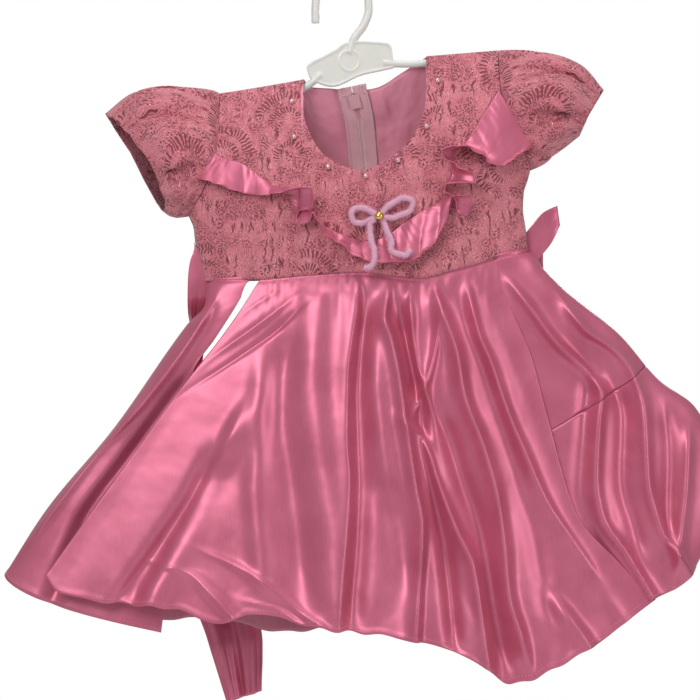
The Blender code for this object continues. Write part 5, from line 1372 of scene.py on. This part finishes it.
# Hanger, (x, z); bars are path, radius and steps
hanger = {
    "plate": (
        (-0.0300, -0.0800), (-0.0270, -0.0885), (-0.0090, -0.0960), (0.0170, -0.0860), (0.0370, -0.0815),
        (0.0440, -0.0795), (0.0430, -0.0740), (0.0420, -0.0640), (0.0385, -0.0600), (0.0140, -0.0585),
        (0.0030, -0.0600), (-0.0040, -0.0650), (-0.0180, -0.0725), (-0.0260, -0.0765)),
    "plateHalf": 0.0020, "rim": 0.0011, "rimShare": 0.9,
    "boss": (0.0065, -0.0745), "bossRadius": 0.0088, "bossBead": 0.0007, "voxel": 0.0006,
    "bars": (
        (((-0.0180, -0.0860), (-0.0280, -0.0947), (-0.0370, -0.0997), (-0.0650, -0.1035),
          (-0.0980, -0.1085)), 0.0033, 40),
        (((0.0360, -0.0765), (0.0560, -0.0772), (0.0760, -0.0763), (0.0980, -0.0745),
          (0.1180, -0.0730)), 0.0033, 40),
        (((0.0060, -0.0680), (0.0100, -0.0560), (0.0190, -0.0430), (0.0230, -0.0300),
          (0.0222, -0.0170), (0.0150, -0.0020), (0.0000, 0.0036), (-0.0150, -0.0020),
          (-0.0220, -0.0170), (-0.0230, -0.0300), (-0.0230, -0.0420)), 0.0036, 110))}


def tubeMesh(sheet, points, radius, sides=14, closed=False):
    # adds a round bar along points in the plane y = const
    points = [Vector(point) for point in points]
    rings = []
    count = len(points)
    for index, point in enumerate(points):
        ahead = points[(index + 1) % count] if closed or index < count - 1 else point
        behind = points[index - 1] if closed or index else point
        along = (ahead - behind).normalized()
        side = along.cross(Vector((0, 1, 0))).normalized()
        ring = []
        for k in range(sides):
            angle = 2 * math.pi * k / sides
            spot = point + side * (radius * math.cos(angle)) + Vector((0, radius * math.sin(angle), 0))
            ring.append(sheet.verts.new(spot))
        rings.append(ring)
    pairs = list(zip(rings, rings[1:])) + ([(rings[-1], rings[0])] if closed else [])
    for lower, upper in pairs:
        for k in range(sides):
            sheet.faces.new((lower[k], lower[(k + 1) % sides], upper[(k + 1) % sides], upper[k]))
    if not closed:
        sheet.faces.new(rings[0][::-1])
        sheet.faces.new(rings[-1])


def addHanger():
    # plate, rims, disc edges, arms and hook, melted into one form
    sheet = bmesh.new()
    plateHalf = hanger["plateHalf"]
    outline = pathPoints((*hanger["plate"], hanger["plate"][0]), np.linspace(0, 1, 160))[:-1]
    low = [sheet.verts.new((x, -plateHalf, z)) for x, z in outline]
    high = [sheet.verts.new((x, plateHalf, z)) for x, z in outline]
    count = len(outline)
    for k in range(count):
        sheet.faces.new((low[k], low[(k + 1) % count], high[(k + 1) % count], high[k]))
    sheet.faces.new(low[::-1])
    sheet.faces.new(high)
    angles = np.arange(48) * 2 * math.pi / 48
    for side in (front, back):
        y = side * plateHalf * hanger["rimShare"]
        tubeMesh(sheet, [(x, y, z) for x, z in outline], hanger["rim"], 10, True)
        ring = [(hanger["boss"][0] + hanger["bossRadius"] * math.cos(angle), side * plateHalf,
                 hanger["boss"][1] + hanger["bossRadius"] * math.sin(angle)) for angle in angles]
        tubeMesh(sheet, ring, hanger["bossBead"], 8, True)
    for path, radius, steps in hanger["bars"]:
        spots = pathPoints(path, np.linspace(0, 1, steps))
        tubeMesh(sheet, [(x, 0, z) for x, z in spots], radius)
    bmesh.ops.recalc_face_normals(sheet, faces=sheet.faces)
    mesh = bpy.data.meshes.new("hanger_form")
    sheet.to_mesh(mesh)
    sheet.free()
    holder = placeObject("hanger_form", mesh)
    remesh = holder.modifiers.new("melt", "REMESH")
    remesh.mode = "VOXEL"
    remesh.voxel_size = hanger["voxel"]
    smooth = holder.modifiers.new("soften", "SMOOTH")
    smooth.factor = 0.5
    smooth.iterations = 4
    solid = plainMesh(holder)
    solid.materials.clear()
    solid.materials.append(materials["hanger"])
    solid.shade_smooth()
    return newPiece("plastic_hanger", solid, ("hanger",))


addHanger()
for name in ("zip_slider", "zip_pull"):
    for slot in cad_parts[name].material_slots:
        slot.material = materials["coil"]
print("hanger made")


# Floor, light and camera; each lamp has its place, its size and its power
studio = {
    "aim": (0.0068, 0.0, -0.33), "sky": 0.36, "floorRadius": 1.5, "floorSides": 64, "floorHeight": -1.0,
    "camera": (0.0068, -2.44, -0.3244), "halfView": 0.2975 / 2.4,
    "lamps": {
        "window_left": ((-0.9, -1.9, 0.75), (0.8, 1.2), 22),
        "window_right": ((1.6, -1.2, -0.1), (0.3, 1.4), 7.5),
        "overhead": ((0.1, -0.5, 1.3), (1.2, 0.6), 10),
        "rear_fill": ((0.2, 1.8, 0.5), (1.4, 1.2), 24)}}


def addLight(name, place, size, power):
    lamp = bpy.data.lights.new(name, "AREA")
    lamp.shape = "ELLIPSE"
    lamp.size, lamp.size_y = size
    lamp.energy = power
    item = placeObject(name, lamp)
    item.location = place
    item.rotation_euler = (Vector(studio["aim"]) - Vector(place)).to_track_quat("-Z", "Y").to_euler()


def addFloor():
    mesh = bpy.data.meshes.new("floor")
    sides = studio["floorSides"]
    corners = []
    for k in range(sides):
        angle = 2 * math.pi * k / sides
        corners.append((studio["floorRadius"] * math.cos(angle), studio["floorRadius"] * math.sin(angle),
                        studio["floorHeight"]))
    mesh.from_pydata(corners, [], [tuple(range(sides))])
    item = placeObject("floor", mesh)
    material, _, shader = newMaterial("floor_paint", 0.8)
    shader.inputs["Base Color"].default_value = (0.85, 0.85, 0.85, 1.0)
    mesh.materials.append(material)
    return item


floor = addFloor()

world = bpy.data.worlds.new("studio")
bpy.context.scene.world = world
world.use_nodes = True
tree = world.node_tree
sky = tree.nodes["Background"]
sky.inputs["Color"].default_value = (1.0, 1.0, 1.0, 1.0)
sky.inputs["Strength"].default_value = studio["sky"]
white = addNode(tree, "ShaderNodeBackground", {"Color": (1.0, 1.0, 1.0, 1.0), "Strength": 1.0})
rays = addNode(tree, "ShaderNodeLightPath")
choose = addNode(tree, "ShaderNodeMixShader", {
    0: rays.outputs["Is Camera Ray"], 1: sky.outputs[0], 2: white.outputs[0]})
tree.links.new(choose.outputs[0], tree.nodes["World Output"].inputs["Surface"])
for name, (place, size, power) in studio["lamps"].items():
    addLight(name, place, size, power)

bpy.context.scene.view_settings.view_transform = "Standard"
camera = placeObject("camera", bpy.data.cameras.new("camera"))
camera.data.sensor_width = 36.0
camera.data.angle = 2 * math.atan(studio["halfView"])
camera.location = studio["camera"]
camera.rotation_euler = (math.pi / 2, 0.0, 0.0)
bpy.context.scene.camera = camera
print("stage made")
